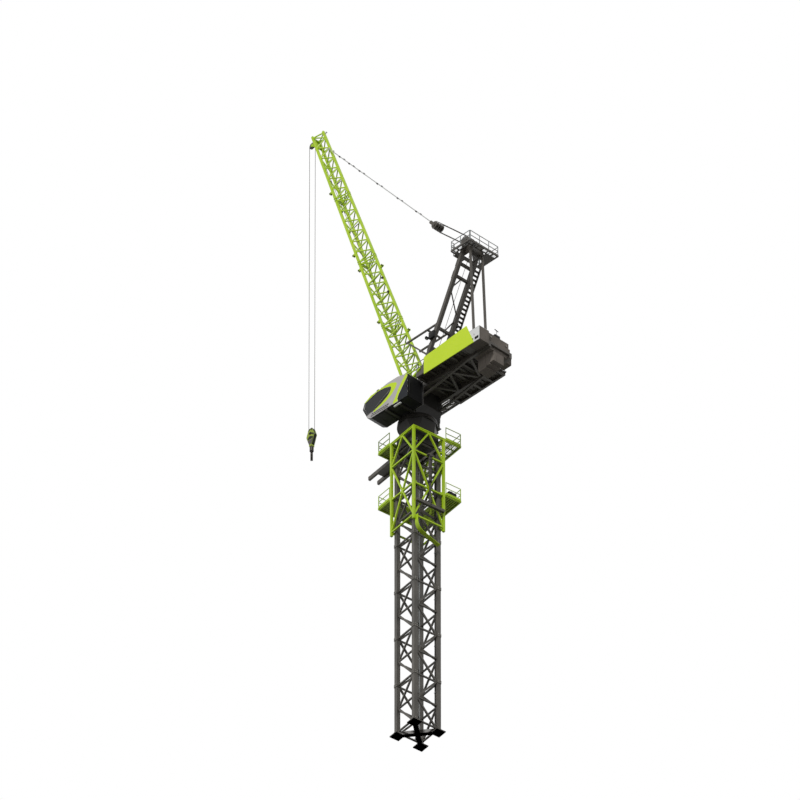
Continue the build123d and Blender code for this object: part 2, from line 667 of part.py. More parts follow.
# Turntable: round flange, ribbed box and the four fork plates of the jib pivot
with BuildPart() as turntable:
    with BuildSketch(Plane.XY.offset(TURNTABLE_BOTTOM)):
        Circle(BEARING_RADIUS - TURNTABLE_INSET)
    extrude(amount=TURNTABLE_FLANGE)
    with BuildSketch(Plane.XZ):
        with BuildLine():
            Polyline(
                (TURNTABLE_FRONT - TURNTABLE_CHIN[0], TURNTABLE_BOTTOM + TURNTABLE_FLANGE),
                (TURNTABLE_FRONT, TURNTABLE_BOTTOM + TURNTABLE_CHIN[1]),
                (TURNTABLE_FRONT, TURNTABLE_TOP),
                (TURNTABLE_REAR, TURNTABLE_TOP),
                (TURNTABLE_REAR, TURNTABLE_BOTTOM + TURNTABLE_HEEL[1]),
                (TURNTABLE_REAR + TURNTABLE_HEEL[0], TURNTABLE_BOTTOM + TURNTABLE_FLANGE),
                close=True,
            )
        make_face()
    extrude(amount=TURNTABLE_HALF_WIDTH, both=True)
    fork_lines = [
        hand * JIB_WIDTH / 2 + side * (EYE_WIDTH / 2 + EYE_GAP + FORK_PLATE / 2)
        for hand in (-1, 1)
        for side in (-1, 1)
    ]
    with BuildSketch(*[upright(y + FORK_PLATE / 2) for y in fork_lines]):
        with BuildLine():
            Polyline(
                (PIVOT_X - 2 * EYE_RADIUS, TURNTABLE_TOP),
                (PIVOT_X + 2 * EYE_RADIUS, TURNTABLE_TOP),
                (PIVOT_X + EYE_RADIUS, PIVOT_Z),
                (PIVOT_X - EYE_RADIUS, PIVOT_Z),
                close=True,
            )
        make_face()
        with Locations((PIVOT_X, PIVOT_Z)):
            Circle(EYE_RADIUS)
    extrude(amount=FORK_PLATE)
    with BuildSketch(*[upright(y + FORK_PLATE / 2) for y in fork_lines]):
        with Locations((PIVOT_X, PIVOT_Z)):
            Circle(PIN_RADIUS)
    extrude(amount=FORK_PLATE, mode=Mode.SUBTRACT)
    with BuildSketch(Plane.XY.offset(CAB_FLOOR - CAB_BRACKET_DEPTH)):
        with Locations(*[(x, (TURNTABLE_HALF_WIDTH + CAB_SIDE) / 2) for x in CAB_BRACKETS]):
            Rectangle(CAB_BRACKET_WIDTH, CAB_SIDE - TURNTABLE_HALF_WIDTH)
    extrude(amount=CAB_BRACKET_DEPTH)
    with BuildSketch(Plane.XY.offset(CAB_FLOOR - CAB_BRACKET_DEPTH)):
        with Locations(*[(x, (TURNTABLE_HALF_WIDTH + CAB_INNER) / 2) for x in CAB_BRACKETS]):
            Rectangle(CAB_BRACKET_WIDTH, CAB_INNER - TURNTABLE_HALF_WIDTH)
    extrude(amount=CAB_BRACKET_RISE)
save(turntable.part, "turntable")

pin_length = EYE_WIDTH + 2 * (EYE_GAP + FORK_PLATE)
with BuildPart() as jib_pins:
    with BuildSketch(*[upright(hand * JIB_WIDTH / 2 + pin_length / 2) for hand in (-1, 1)]):
        with Locations((PIVOT_X, PIVOT_Z)):
            Circle(PIN_RADIUS)
    extrude(amount=pin_length)
save(jib_pins.part, "jib_pins")

# Counter jib: two box girders, cross beams that carry the deck, flat bracing and raking struts
strut_foot = TURNTABLE_TOP - STRUT_DROP
strut_slope = (GIRDER_BOTTOM - strut_foot) / (TURNTABLE_REAR - STRUT_REACH)
strut_low = strut_foot - STRUT_OVERRUN * strut_slope
strut_high = GIRDER_BOTTOM + STRUT_OVERRUN * strut_slope
strut_members = bars(
    [
        (
            (TURNTABLE_REAR + STRUT_OVERRUN, hand * GIRDER_Y, strut_low),
            (STRUT_REACH - STRUT_OVERRUN, hand * GIRDER_Y, strut_high),
        )
        for hand in (-1, 1)
    ],
    STRUT_SIZE,
    STRUT_SIZE,
)
first_beam = DECK_FRONT - CROSS_BEAM_WIDTH / 2
beam_pitch = (STAY_FOOT_X - first_beam) / (CROSS_BEAM_COUNT - 1)
cross_beam_x = [first_beam + i * beam_pitch for i in range(CROSS_BEAM_COUNT)]
beam_rear = cross_beam_x[-1] - CROSS_BEAM_WIDTH / 2
deck_width = DECK_LEFT - DECK_RIGHT
deck_middle = (DECK_LEFT + DECK_RIGHT) / 2
with BuildPart() as counter_jib_frame:
    add(strut_members)
    with BuildSketch(Plane.XY.offset(GIRDER_BOTTOM)):
        Rectangle(-3 * COUNTER_JIB_END, 4 * GIRDER_Y)
    extrude(amount=GIRDER_DEPTH, mode=Mode.SUBTRACT)
    with BuildSketch(Plane.YZ.offset(TURNTABLE_REAR)):
        with Locations((0, strut_foot)):
            Rectangle(4 * GIRDER_Y, 2 * GIRDER_DEPTH)
    extrude(amount=2 * STRUT_OVERRUN, mode=Mode.SUBTRACT)
    with BuildSketch(Plane.XY.offset(GIRDER_BOTTOM)):
        with Locations(*[((TURNTABLE_REAR + COUNTER_JIB_END) / 2, hand * GIRDER_Y) for hand in (-1, 1)]):
            Rectangle(TURNTABLE_REAR - COUNTER_JIB_END, GIRDER_WIDTH)
    extrude(amount=GIRDER_DEPTH)
    with BuildSketch(Plane.XY.offset(TURNTABLE_TOP - CROSS_BEAM_DEPTH)):
        with Locations(*[(x, deck_middle) for x in cross_beam_x]):
            Rectangle(CROSS_BEAM_WIDTH, deck_width)
        with Locations((COUNTER_JIB_END + CROSS_BEAM_WIDTH / 2, 0)):
            Rectangle(CROSS_BEAM_WIDTH, 2 * GIRDER_SIDE)
        edge_length = DECK_FRONT - beam_rear
        for edge_y in (DECK_LEFT - CROSS_BEAM_WIDTH / 2, DECK_RIGHT + CROSS_BEAM_WIDTH / 2):
            with Locations((DECK_FRONT - edge_length / 2, edge_y)):
                Rectangle(edge_length, CROSS_BEAM_WIDTH)
    extrude(amount=CROSS_BEAM_DEPTH)
    with BuildSketch(Plane.XY.offset(GIRDER_BOTTOM)):
        for i, (x0, x1) in enumerate(zip(cross_beam_x, cross_beam_x[1:])):
            hand = 1 if i % 2 == 0 else -1
            with BuildLine():
                Line((x0, hand * GIRDER_Y), (x1, -hand * GIRDER_Y))
            trace(line_width=CROSS_BEAM_WIDTH)
    extrude(amount=CROSS_BEAM_DEPTH)
save(counter_jib_frame.part, "counter_jib_frame")

# Deck plate behind the turntable
with BuildPart() as deck:
    with BuildSketch(Plane.XY.offset(TURNTABLE_TOP)):
        with Locations(((DECK_FRONT + DECK_END) / 2, deck_middle)):
            Rectangle(DECK_FRONT - DECK_END, deck_width)
        with Locations(((TURNTABLE_REAR + DECK_FRONT) / 2, 0)):
            Rectangle(TURNTABLE_REAR - DECK_FRONT, 2 * TURNTABLE_HALF_WIDTH)
        with Locations((STAY_FOOT_X, -STAY_Y), (STAY_FOOT_X, STAY_Y)):
            Rectangle(STAY_SIZE + 2 * STAY_SEAT_GAP, STAY_SIZE + 2 * STAY_SEAT_GAP, mode=Mode.SUBTRACT)
    extrude(amount=DECK_THICK)
save(deck.part, "deck")

# Side panel of the machinery deck
banner_sill = TURNTABLE_TOP - BANNER_DROP
with BuildPart() as banner_panels:
    with BuildSketch(upright(DECK_LEFT + BANNER_THICK)):
        with BuildLine():
            Polyline(
                (BANNER_FRONT, banner_sill),
                (BANNER_FRONT, banner_sill + BANNER_HEIGHT - BANNER_CORNER),
                (BANNER_FRONT - BANNER_CORNER, banner_sill + BANNER_HEIGHT),
                (BANNER_REAR + BANNER_SLANT, banner_sill + BANNER_HEIGHT + BANNER_RISE),
                (BANNER_REAR, banner_sill),
                close=True,
            )
        make_face()
    extrude(amount=BANNER_THICK)
save(banner_panels.part, "banner_panels")

# Cabinet at the rear, carried by the outside of the left girder
with BuildPart() as cabinet:
    with BuildSketch(Plane.XY.offset(TURNTABLE_TOP - CABINET_DROP)):
        with Locations((COUNTER_JIB_END + CABINET_LENGTH / 2, (GIRDER_SIDE + DECK_LEFT) / 2)):
            Rectangle(CABINET_LENGTH, DECK_LEFT - GIRDER_SIDE)
    extrude(amount=CABINET_HEIGHT)
save(cabinet.part, "cabinet")

# Counterweights: slabs that hang between the girders by their shoulders
weight_inner = GIRDER_Y - GIRDER_WIDTH / 2 - WEIGHT_SIDE_GAP
weight_back = COUNTER_JIB_END + CROSS_BEAM_WIDTH + WEIGHT_GAP
with BuildPart() as counterweights:
    for right, drop in zip(WEIGHT_RIGHTS, WEIGHT_DROPS):
        with BuildSketch(Plane.YZ.offset(weight_back)):
            with Locations(((WEIGHT_LEFT + right) / 2, TURNTABLE_TOP + WEIGHT_RISE / 2)):
                Rectangle(WEIGHT_LEFT - right, WEIGHT_RISE)
            with Locations((0, TURNTABLE_TOP - GIRDER_DEPTH / 2)):
                Rectangle(2 * weight_inner, GIRDER_DEPTH)
            with Locations((0, TURNTABLE_TOP - drop / 2)):
                Rectangle(2 * WEIGHT_WAIST, drop)
        extrude(amount=WEIGHT_THICK)
        weight_back += WEIGHT_THICK + WEIGHT_GAP
save(counterweights.part, "counterweights")

# Winches: a drum between two frame plates, with the motor at one end
seat = TURNTABLE_TOP + DECK_THICK
drum_end = DRUM_LENGTH / 2
plate_end = drum_end + WINCH_GAP + WINCH_PLATE
for name, centre_x, radius in (
    ("hoist_winch", HOIST_WINCH_X, DRUM_RADIUS),
    ("luffing_winch", LUFF_WINCH_X, DRUM_RADIUS * LUFF_DRUM),
):
    axis_z = seat + radius + WINCH_FOOT
    with BuildPart() as winch:
        with BuildSketch(upright(drum_end)):
            with Locations((centre_x, axis_z)):
                Circle(radius * DRUM_CORE)
        extrude(amount=DRUM_LENGTH)
        with BuildSketch(upright(drum_end), upright(DRUM_FLANGE - drum_end)):
            with Locations((centre_x, axis_z)):
                Circle(radius)
        extrude(amount=DRUM_FLANGE)
        with BuildSketch(upright(plate_end), upright(WINCH_PLATE - plate_end)):
            with BuildLine():
                Polyline(
                    (centre_x - radius - WINCH_FOOT, seat),
                    (centre_x + radius + WINCH_FOOT, seat),
                    (centre_x + radius / 2, axis_z + radius / 2),
                    (centre_x - radius / 2, axis_z + radius / 2),
                    close=True,
                )
            make_face()
        extrude(amount=WINCH_PLATE)
        with BuildSketch(upright(plate_end)):
            with Locations((centre_x, axis_z)):
                Circle(SHAFT_RADIUS)
        extrude(amount=2 * plate_end)
        with BuildSketch(upright(-plate_end)):
            with Locations((centre_x, axis_z)):
                RegularPolygon(radius * MOTOR_SHARE, 8)
        extrude(amount=MOTOR_LENGTH)
    save(winch.part, name)

# Driver's cab: a hollow streamlined body with window openings
with BuildSketch(Plane.XZ) as cab_outline:
    with BuildLine():
        Polyline(*cab_corners(CAB_PROFILE), close=True)
    make_face()
with BuildSketch(Plane.XZ) as side_window:
    with BuildLine():
        Polyline(*cab_corners(WINDOW_PROFILE), close=True)
    make_face()
with BuildPart() as cab_shell:
    with BuildSketch(upright(CAB_SIDE)):
        add(cab_outline.sketch_local)
    extrude(amount=CAB_WIDTH)
    with BuildSketch(upright(CAB_SIDE - CAB_WALL)):
        add(cab_outline.sketch_local)
        offset(amount=-CAB_WALL, kind=Kind.INTERSECTION, mode=Mode.REPLACE)
    extrude(amount=CAB_WIDTH - 2 * CAB_WALL, mode=Mode.SUBTRACT)
    with BuildSketch(upright(CAB_SIDE)):
        add(side_window.sketch_local)
    extrude(amount=CAB_WIDTH, mode=Mode.SUBTRACT)
    with BuildSketch(Plane.XY.offset(CAB_FLOOR + NOSE_SILL)):
        with Locations((CAB_NOSE - NOSE_SETBACK, CAB_SIDE - CAB_WIDTH / 2)):
            Rectangle(NOSE_GLASS, CAB_WIDTH - 2 * NOSE_PILLAR)
    extrude(amount=NOSE_HEIGHT, mode=Mode.SUBTRACT)
save(cab_shell.part, "cab_shell")

# Side panes and the windscreen that wraps round the nose
pane = (CAB_WALL - GLASS_THICK) / 2
with BuildPart() as windscreen:
    with BuildSketch(upright(CAB_SIDE - NOSE_PILLAR)):
        add(cab_outline.sketch_local)
        offset(amount=-pane, kind=Kind.INTERSECTION, mode=Mode.REPLACE)
    extrude(amount=CAB_WIDTH - 2 * NOSE_PILLAR)
    with BuildSketch(upright(CAB_SIDE - NOSE_PILLAR)):
        add(cab_outline.sketch_local)
        offset(amount=-pane - GLASS_THICK, kind=Kind.INTERSECTION, mode=Mode.REPLACE)
    extrude(amount=CAB_WIDTH - 2 * NOSE_PILLAR, mode=Mode.SUBTRACT)
    with BuildSketch(Plane.XY.offset(CAB_FLOOR + NOSE_SILL)):
        with Locations((CAB_NOSE - NOSE_SETBACK, CAB_SIDE - CAB_WIDTH / 2)):
            Rectangle(NOSE_GLASS, CAB_WIDTH)
    extrude(amount=NOSE_HEIGHT, mode=Mode.INTERSECT)
with BuildPart() as cab_glass:
    with BuildSketch(upright(CAB_SIDE - pane), upright(CAB_INNER + CAB_WALL - pane)):
        add(side_window.sketch_local)
    extrude(amount=GLASS_THICK)
    add(windscreen.part)
save(cab_glass.part, "cab_glass")

# A-frame: raking legs, cross beams and bracing between them, back stays and head plates
A_RUN = A_HEAD_X - A_FOOT_X


def on_leg(share, y):
    """A point on the middle line of an A-frame leg, at a share of its height."""
    return (A_FOOT_X + share * A_RUN, y, TURNTABLE_TOP + share * A_HEAD_RISE)


leg_members = bars(
    [(on_leg(-A_LEG_SINK, hand * A_LEG_Y), on_leg(1, hand * A_LEG_Y)) for hand in (-1, 1)],
    A_LEG_SIZE,
    A_LEG_SIZE,
    side=(0, 1, 0),
)
with BuildPart() as a_frame_legs:
    add(leg_members)
    with BuildSketch(Plane.XY.offset(TURNTABLE_TOP)):
        with Locations((A_FOOT_X, 0)):
            Rectangle(10 * A_LEG_SIZE, 4 * A_LEG_Y)
    extrude(amount=-4 * A_LEG_SIZE, mode=Mode.SUBTRACT)
save(a_frame_legs.part, "a_frame_legs")

beam_members = bars([(on_leg(t, -LEG_INNER), on_leg(t, LEG_INNER)) for t in A_BEAMS], A_BEAM, A_BEAM)
brace_members = bars(
    [(on_leg(left, LEG_INNER), on_leg(right, -LEG_INNER)) for left, right in A_BRACES]
    + [(on_leg(leg, hand * LEG_INNER), on_leg(beam, 0)) for hand, leg, beam in A_KNEES],
    A_BRACE,
    A_BRACE,
)
with BuildPart() as a_frame_beams:
    add(beam_members)
    add(brace_members)
    add(a_frame_legs.part, mode=Mode.SUBTRACT)
save(a_frame_beams.part, "a_frame_beams")

stay_members = bars(
    [
        (
            (STAY_FOOT_X, hand * STAY_Y, TURNTABLE_TOP - STAY_SIZE),
            (STAY_HEAD_X, hand * STAY_Y, TURNTABLE_TOP + STAY_HEAD_RISE),
        )
        for hand in (-1, 1)
    ],
    STAY_SIZE,
    STAY_SIZE,
    side=(0, 1, 0),
)
with BuildPart() as back_stays:
    add(stay_members)
    with BuildSketch(Plane.XY.offset(TURNTABLE_TOP)):
        with Locations((STAY_FOOT_X, 0)):
            Rectangle(4 * STAY_SIZE, 4 * STAY_Y)
    extrude(amount=-4 * STAY_SIZE, mode=Mode.SUBTRACT)
save(back_stays.part, "back_stays")

# Head of the A-frame: two cheek plates, the spreader between them and the sheave axle
with BuildPart() as a_frame_head:
    with BuildSketch(upright(LEG_INNER), upright(CHEEK_THICK - LEG_INNER)):
        with BuildLine():
            Polyline(
                (STAY_HEAD_X - CHEEK_REAR, HEAD_FLOOR - CHEEK_DROP),
                (STAY_HEAD_X + CHEEK_FRONT, HEAD_FLOOR - CHEEK_DROP),
                (HEAD_SHEAVE_X + SHEAVE_RADIUS, HEAD_SHEAVE_Z),
                (HEAD_SHEAVE_X, HEAD_SHEAVE_Z + SHEAVE_RADIUS / 2),
                (HEAD_SHEAVE_X - SHEAVE_RADIUS, HEAD_SHEAVE_Z + SHEAVE_RADIUS / 2),
                (STAY_HEAD_X - CHEEK_REAR, HEAD_FLOOR + CHEEK_RISE),
                close=True,
            )
        make_face()
    extrude(amount=CHEEK_THICK)
    with BuildSketch(upright(LEG_INNER)):
        with Locations((STAY_HEAD_X + SPREADER_SIZE / 2, HEAD_FLOOR)):
            Rectangle(SPREADER_SIZE, SPREADER_SIZE)
        with Locations((HEAD_SHEAVE_X, HEAD_SHEAVE_Z)):
            Circle(AXLE_RADIUS)
    extrude(amount=2 * LEG_INNER)
save(a_frame_head.part, "a_frame_head")

sheave_rows = [(i - (SHEAVE_COUNT - 1) / 2) * FALL_SPACING for i in range(SHEAVE_COUNT)]
with BuildPart() as head_sheaves:
    with BuildSketch(*[upright(y + SHEAVE_THICK / 2) for y in sheave_rows]):
        with Locations((HEAD_SHEAVE_X, HEAD_SHEAVE_Z)):
            Circle(SHEAVE_RADIUS)
            Circle(AXLE_RADIUS + PIN_GAP, mode=Mode.SUBTRACT)
    extrude(amount=SHEAVE_THICK)
save(head_sheaves.part, "head_sheaves")

# Head platform with a well round the A-frame and a hatch over the stair
stair_inner = -A_LEG_Y - A_LEG_SIZE / 2
stair_outer = stair_inner - 2 * STRINGER - STAIR_WIDTH
well_front = HEAD_SHEAVE_X + WELL_FRONT
well_rear = STAY_HEAD_X - CHEEK_REAR - WELL_GAP
with BuildPart() as head_platform:
    with BuildSketch(Plane.XY.offset(HEAD_FLOOR)):
        with Locations(((HEAD_FRONT + HEAD_REAR) / 2, (HEAD_LEFT + HEAD_RIGHT) / 2)):
            Rectangle(HEAD_FRONT - HEAD_REAR, HEAD_LEFT - HEAD_RIGHT)
        with Locations(((well_front + well_rear) / 2, 0)):
            Rectangle(well_front - well_rear, -2 * stair_inner, mode=Mode.SUBTRACT)
        with Locations((HEAD_FRONT - HATCH_LENGTH / 2, (stair_inner + stair_outer) / 2 - WELL_GAP)):
            Rectangle(HATCH_LENGTH, STAIR_WIDTH, mode=Mode.SUBTRACT)
        for x_range, y_range, columns, rows in (
            ((HEAD_REAR, well_rear), (HEAD_RIGHT, HEAD_LEFT), 1, 6),
            ((well_rear - GRATE_BAR, HEAD_FRONT), (-stair_inner, HEAD_LEFT), 3, 1),
        ):
            middles, size = grate_cells(x_range, y_range, columns, rows)
            with Locations(*middles):
                Rectangle(*size, mode=Mode.SUBTRACT)
    extrude(amount=HEAD_THICK)
save(head_platform.part, "head_platform")

# Railings round the head platform and beside the open front of the deck
head_corners = [
    (HEAD_FRONT - rail_in, stair_outer - WELL_GAP),
    (HEAD_FRONT - rail_in, HEAD_RIGHT + rail_in),
    (HEAD_REAR + rail_in, HEAD_RIGHT + rail_in),
    (HEAD_REAR + rail_in, HEAD_LEFT - rail_in),
    (HEAD_FRONT - rail_in, HEAD_LEFT - rail_in),
    (HEAD_FRONT - rail_in, -stair_inner),
]
deck_rails = [
    railing([(DECK_FRONT, y), (x_end, y)], TURNTABLE_TOP + DECK_THICK, RAIL_HEIGHT)
    for x_end, y in ((BANNER_FRONT, DECK_LEFT - rail_in), (beam_rear, DECK_RIGHT + rail_in))
]
head_rails = railing(head_corners, HEAD_FLOOR + HEAD_THICK, HEAD_RAIL_HEIGHT)
with BuildPart() as upper_rails:
    for panels in (head_rails, *deck_rails):
        add(panels)
save(upper_rails.part, "upper_rails")

# Stair along the right leg, from the deck to the hatch
stair_top = (HEAD_RISE - STRINGER_DEPTH) / A_HEAD_RISE
tread_count = int(stair_top * A_HEAD_RISE / TREAD_RISE)
stringer_members = bars(
    [
        (on_leg(STAIR_START, y), on_leg(stair_top, y))
        for y in (stair_inner - STRINGER / 2, stair_outer + STRINGER / 2)
    ],
    STRINGER_DEPTH,
    STRINGER,
    side=(0, 1, 0),
)
tread_points = []
for i in range(1, tread_count):
    x, _, z = on_leg(STAIR_START + i * TREAD_RISE / A_HEAD_RISE, 0)
    tread_points.append((x, z))
with BuildPart() as a_frame_stair:
    add(stringer_members)
    with BuildSketch(upright(stair_inner - STRINGER)):
        with Locations(*tread_points[:-1]):
            Rectangle(TREAD_DEPTH, TREAD_THICK)
    extrude(amount=STAIR_WIDTH)
save(a_frame_stair.part, "a_frame_stair")

# Backstop arms that stop the jib before it can fall over backwards
stop_z = TURNTABLE_TOP + BACKSTOP_RISE
stop_share = BACKSTOP_RISE / A_HEAD_RISE
stop_foot = on_leg(stop_share, 0)
stop_lines = []
for hand in (-1, 1):
    y = hand * A_LEG_Y
    stop_lines.append((on_leg(stop_share, y), (BACKSTOP_X, y, stop_z)))
    stop_lines.append((on_leg(BACKSTOP_BRACE, y), (BACKSTOP_X - BACKSTOP_SIZE, y, stop_z)))
stop_members = bars(stop_lines, BACKSTOP_SIZE, BACKSTOP_SIZE, side=(0, 1, 0))
with BuildPart() as jib_backstop:
    add(stop_members)
    with BuildSketch(upright(A_LEG_Y)):
        with Locations((stop_foot[0] + BACKSTOP_CROSS, stop_z)):
            Rectangle(BACKSTOP_SIZE, BACKSTOP_SIZE)
    extrude(amount=2 * A_LEG_Y)
    add(a_frame_legs.part, mode=Mode.SUBTRACT)
save(jib_backstop.part, "jib_backstop")

# Jib: four pinned sections of three chords, with zigzag lacing on every side


def jib_lacing(first, last, bays):
    """Lacing lines of a run of equal bays, with a triangle across each end."""
    pitch = (last - first) / bays
    lines = []
    for s in (first, last):
        lines.append((lower_chord(s, -1), lower_chord(s, 1)))
        for hand in (-1, 1):
            lines.append((lower_chord(s, hand), apex_chord(s)))
    for i in range(bays):
        low, high = first + i * pitch, first + (i + 1) * pitch
        middle = (low + high) / 2
        for hand in (-1, 1):
            lines.append((lower_chord(low, hand), apex_chord(middle)))
            lines.append((apex_chord(middle), lower_chord(high, hand)))
        zigzag = (-1) ** i
        lines.append((lower_chord(low, zigzag), lower_chord(high, -zigzag)))
    return lines


def jib_chords(lower_start, apex_start, end):
    """Lines of the three chords between two cuts across the jib."""
    lines = [(lower_chord(lower_start, hand), lower_chord(end, hand)) for hand in (-1, 1)]
    return lines + [(apex_chord(apex_start), apex_chord(end))]


section_length = JIB_LENGTH / JIB_SECTION_COUNT
foot_chords = jib_chords(FOOT_CHORD_START, JIB_FOOT_LENGTH, section_length)
foot_chords += [(lower_chord(FOOT_CHORD_START * 2, hand), apex_chord(JIB_FOOT_LENGTH)) for hand in (-1, 1)]
foot_chord_members = bars(foot_chords, CHORD_SIZE, CHORD_SIZE, JIB_FRAME.y_dir)
foot_lacing = jib_lacing(JIB_FOOT_LENGTH, section_length - JIB_END_INSET, JIB_BAYS - 1)
foot_lacing_members = bars(foot_lacing, JIB_LACING, JIB_LACING)
with BuildPart() as jib_foot_section:
    add(foot_chord_members + foot_lacing_members)
    with BuildSketch(*[jib_upright(hand * JIB_WIDTH / 2 + EYE_WIDTH / 2) for hand in (-1, 1)]):
        Circle(EYE_RADIUS)
        with Locations((FOOT_CHORD_START / 2 + EYE_RADIUS / 2, 0)):
            Rectangle(FOOT_CHORD_START + EYE_RADIUS, CHORD_SIZE)
        Circle(PIN_RADIUS + PIN_GAP, mode=Mode.SUBTRACT)
    extrude(amount=EYE_WIDTH)
save(jib_foot_section.part, "jib_foot_section")

for i, name in ((1, "jib_lower_section"), (2, "jib_upper_section")):
    start, end = i * section_length, (i + 1) * section_length
    chord_members = bars(jib_chords(start, start, end), CHORD_SIZE, CHORD_SIZE, JIB_FRAME.y_dir)
    lacing = jib_lacing(start + JIB_END_INSET, end - JIB_END_INSET, JIB_BAYS)
    lacing_members = bars(lacing, JIB_LACING, JIB_LACING)
    with BuildPart() as jib_section:
        add(chord_members + lacing_members)
    save(jib_section.part, name)

# Head section with the pendant pin on top and the fork that carries the tip sheave below
head_start = JIB_LENGTH - section_length
head_chord_members = bars(
    jib_chords(head_start, head_start, JIB_LENGTH), CHORD_SIZE, CHORD_SIZE, JIB_FRAME.y_dir
)
head_lacing = jib_lacing(head_start + JIB_END_INSET, JIB_LENGTH - JIB_END_INSET, JIB_BAYS)
head_lacing_members = bars(head_lacing, JIB_LACING, JIB_LACING)
tip_beams = [
    (lower_chord(TIP_SHEAVE_S + reach, -1), lower_chord(TIP_SHEAVE_S + reach, 1))
    for reach in (-FORK_REACH, 0)
]
tip_beam_members = bars(tip_beams, CHORD_SIZE, CHORD_SIZE, JIB_FRAME.z_dir)
fork_inner = SHEAVE_THICK / 2 + EYE_GAP
with BuildPart() as jib_head_section:
    add(head_chord_members + head_lacing_members + tip_beam_members)
    with BuildSketch(jib_upright(fork_inner + TIP_FORK), jib_upright(-fork_inner)):
        with BuildLine():
            Polyline(
                (TIP_SHEAVE_S - FORK_REACH, 0),
                (TIP_SHEAVE_S, 0),
                (TIP_SHEAVE_S + 2 * AXLE_RADIUS, TIP_SHEAVE_N),
                (TIP_SHEAVE_S, TIP_SHEAVE_N - 2 * AXLE_RADIUS),
                (TIP_SHEAVE_S - 2 * AXLE_RADIUS, TIP_SHEAVE_N),
                close=True,
            )
        make_face()
    extrude(amount=TIP_FORK)
    with BuildSketch(jib_upright(fork_inner + TIP_FORK)):
        with Locations((TIP_SHEAVE_S, TIP_SHEAVE_N)):
            Circle(AXLE_RADIUS)
    extrude(amount=2 * (fork_inner + TIP_FORK))
    with BuildSketch(jib_upright(PENDANT_Y + PENDANT_SIZE)):
        with Locations((PENDANT_S, JIB_DEPTH * jib_share(PENDANT_S))):
            Circle(PENDANT_PIN)
    extrude(amount=2 * (PENDANT_Y + PENDANT_SIZE))
save(jib_head_section.part, "jib_head_section")

with BuildPart() as tip_sheave:
    with BuildSketch(jib_upright(SHEAVE_THICK / 2)):
        with Locations((TIP_SHEAVE_S, TIP_SHEAVE_N)):
            Circle(SHEAVE_RADIUS)
            Circle(AXLE_RADIUS + PIN_GAP, mode=Mode.SUBTRACT)
    extrude(amount=SHEAVE_THICK)
save(tip_sheave.part, "tip_sheave")

# Floating block that hangs between the pendants and the luffing falls
block_centre = Vector(BLOCK_X, 0, BLOCK_Z)
pendant_top = Vector(*apex_chord(PENDANT_S))
pendant_dir = (pendant_top - block_centre).normalized()
pendant_foot = block_centre + pendant_dir * BLOCK_LENGTH
block_half = sheave_rows[-1] + SHEAVE_THICK / 2 + EYE_GAP


def block_plane(y):
    """The upright plane through the floating block, along the pendants, at y."""
    return Plane(origin=(BLOCK_X, y, BLOCK_Z), x_dir=pendant_dir, z_dir=(0, -1, 0))


with BuildPart() as floating_block:
    with BuildSketch(block_plane(block_half + HOOK_CHEEK), block_plane(-block_half)):
        with Locations((BLOCK_LENGTH / 2, 0)):
            SlotCenterToCenter(BLOCK_LENGTH, 4 * AXLE_RADIUS)
    extrude(amount=HOOK_CHEEK)
    with BuildSketch(block_plane(block_half + HOOK_CHEEK)):
        Circle(AXLE_RADIUS)
        with Locations((BLOCK_LENGTH, 0)):
            Circle(PENDANT_PIN)
    extrude(amount=2 * (block_half + HOOK_CHEEK))
    with BuildSketch(*[block_plane(y + SHEAVE_THICK / 2) for y in sheave_rows]):
        Circle(SHEAVE_RADIUS)
        Circle(AXLE_RADIUS + PIN_GAP, mode=Mode.SUBTRACT)
    extrude(amount=SHEAVE_THICK)
save(floating_block.part, "floating_block")

# Two pendant lines with an eye at each end
pendant_lines = []
for hand in (-1, 1):
    side_step = Vector(0, hand * PENDANT_Y, 0)
    start = pendant_foot + pendant_dir * PENDANT_EYE + side_step
    end = pendant_top - pendant_dir * PENDANT_EYE + side_step
    pendant_lines.append((tuple(start), tuple(end)))
pendant_members = bars(pendant_lines, PENDANT_SIZE, PENDANT_SIZE)
eye_distance = (pendant_top - pendant_foot).length
with BuildPart() as pendants:
    add(pendant_members)
    with BuildSketch(*[block_plane(hand * PENDANT_Y + PENDANT_SIZE / 2) for hand in (-1, 1)]):
        with Locations((BLOCK_LENGTH, 0), (BLOCK_LENGTH + eye_distance, 0)):
            SlotCenterToCenter(PENDANT_EYE / 2, 4 * PENDANT_PIN)
            Circle(PENDANT_EYE + PENDANT_PIN / 2)
            Circle(PENDANT_PIN + PIN_GAP, mode=Mode.SUBTRACT)
    extrude(amount=PENDANT_SIZE)
save(pendants.part, "pendant_lines")

# Luffing falls between the sheaves on the A-frame head and those of the floating block
fall_start = Vector(HEAD_SHEAVE_X, 0, HEAD_SHEAVE_Z)
fall_dir = (block_centre - fall_start).normalized()
fall_normal = Vector(0, 1, 0).cross(fall_dir)
fall_lines = []
for y in sheave_rows:
    for hand in (-1, 1):
        step = fall_normal * (hand * ROPE_OFFSET) + Vector(0, y, 0)
        fall_lines.append((tuple(fall_start + step), tuple(block_centre + step)))
fall_members = rods(fall_lines, ROPE_SIZE / 2)
with BuildPart() as luffing_falls:
    add(fall_members)
save(luffing_falls.part, "luffing_falls")

# Hoist ropes, hook block and hook, straight below the tip sheave
hoist_lines = [
    ((TIP.X + hand * ROPE_OFFSET, 0, HOOK_SHEAVE_Z), (TIP.X + hand * ROPE_OFFSET, 0, TIP.Z))
    for hand in (-1, 1)
]
hoist_members = rods(hoist_lines, ROPE_SIZE / 2)
with BuildPart() as hoist_ropes:
    add(hoist_members)
save(hoist_ropes.part, "hoist_ropes")

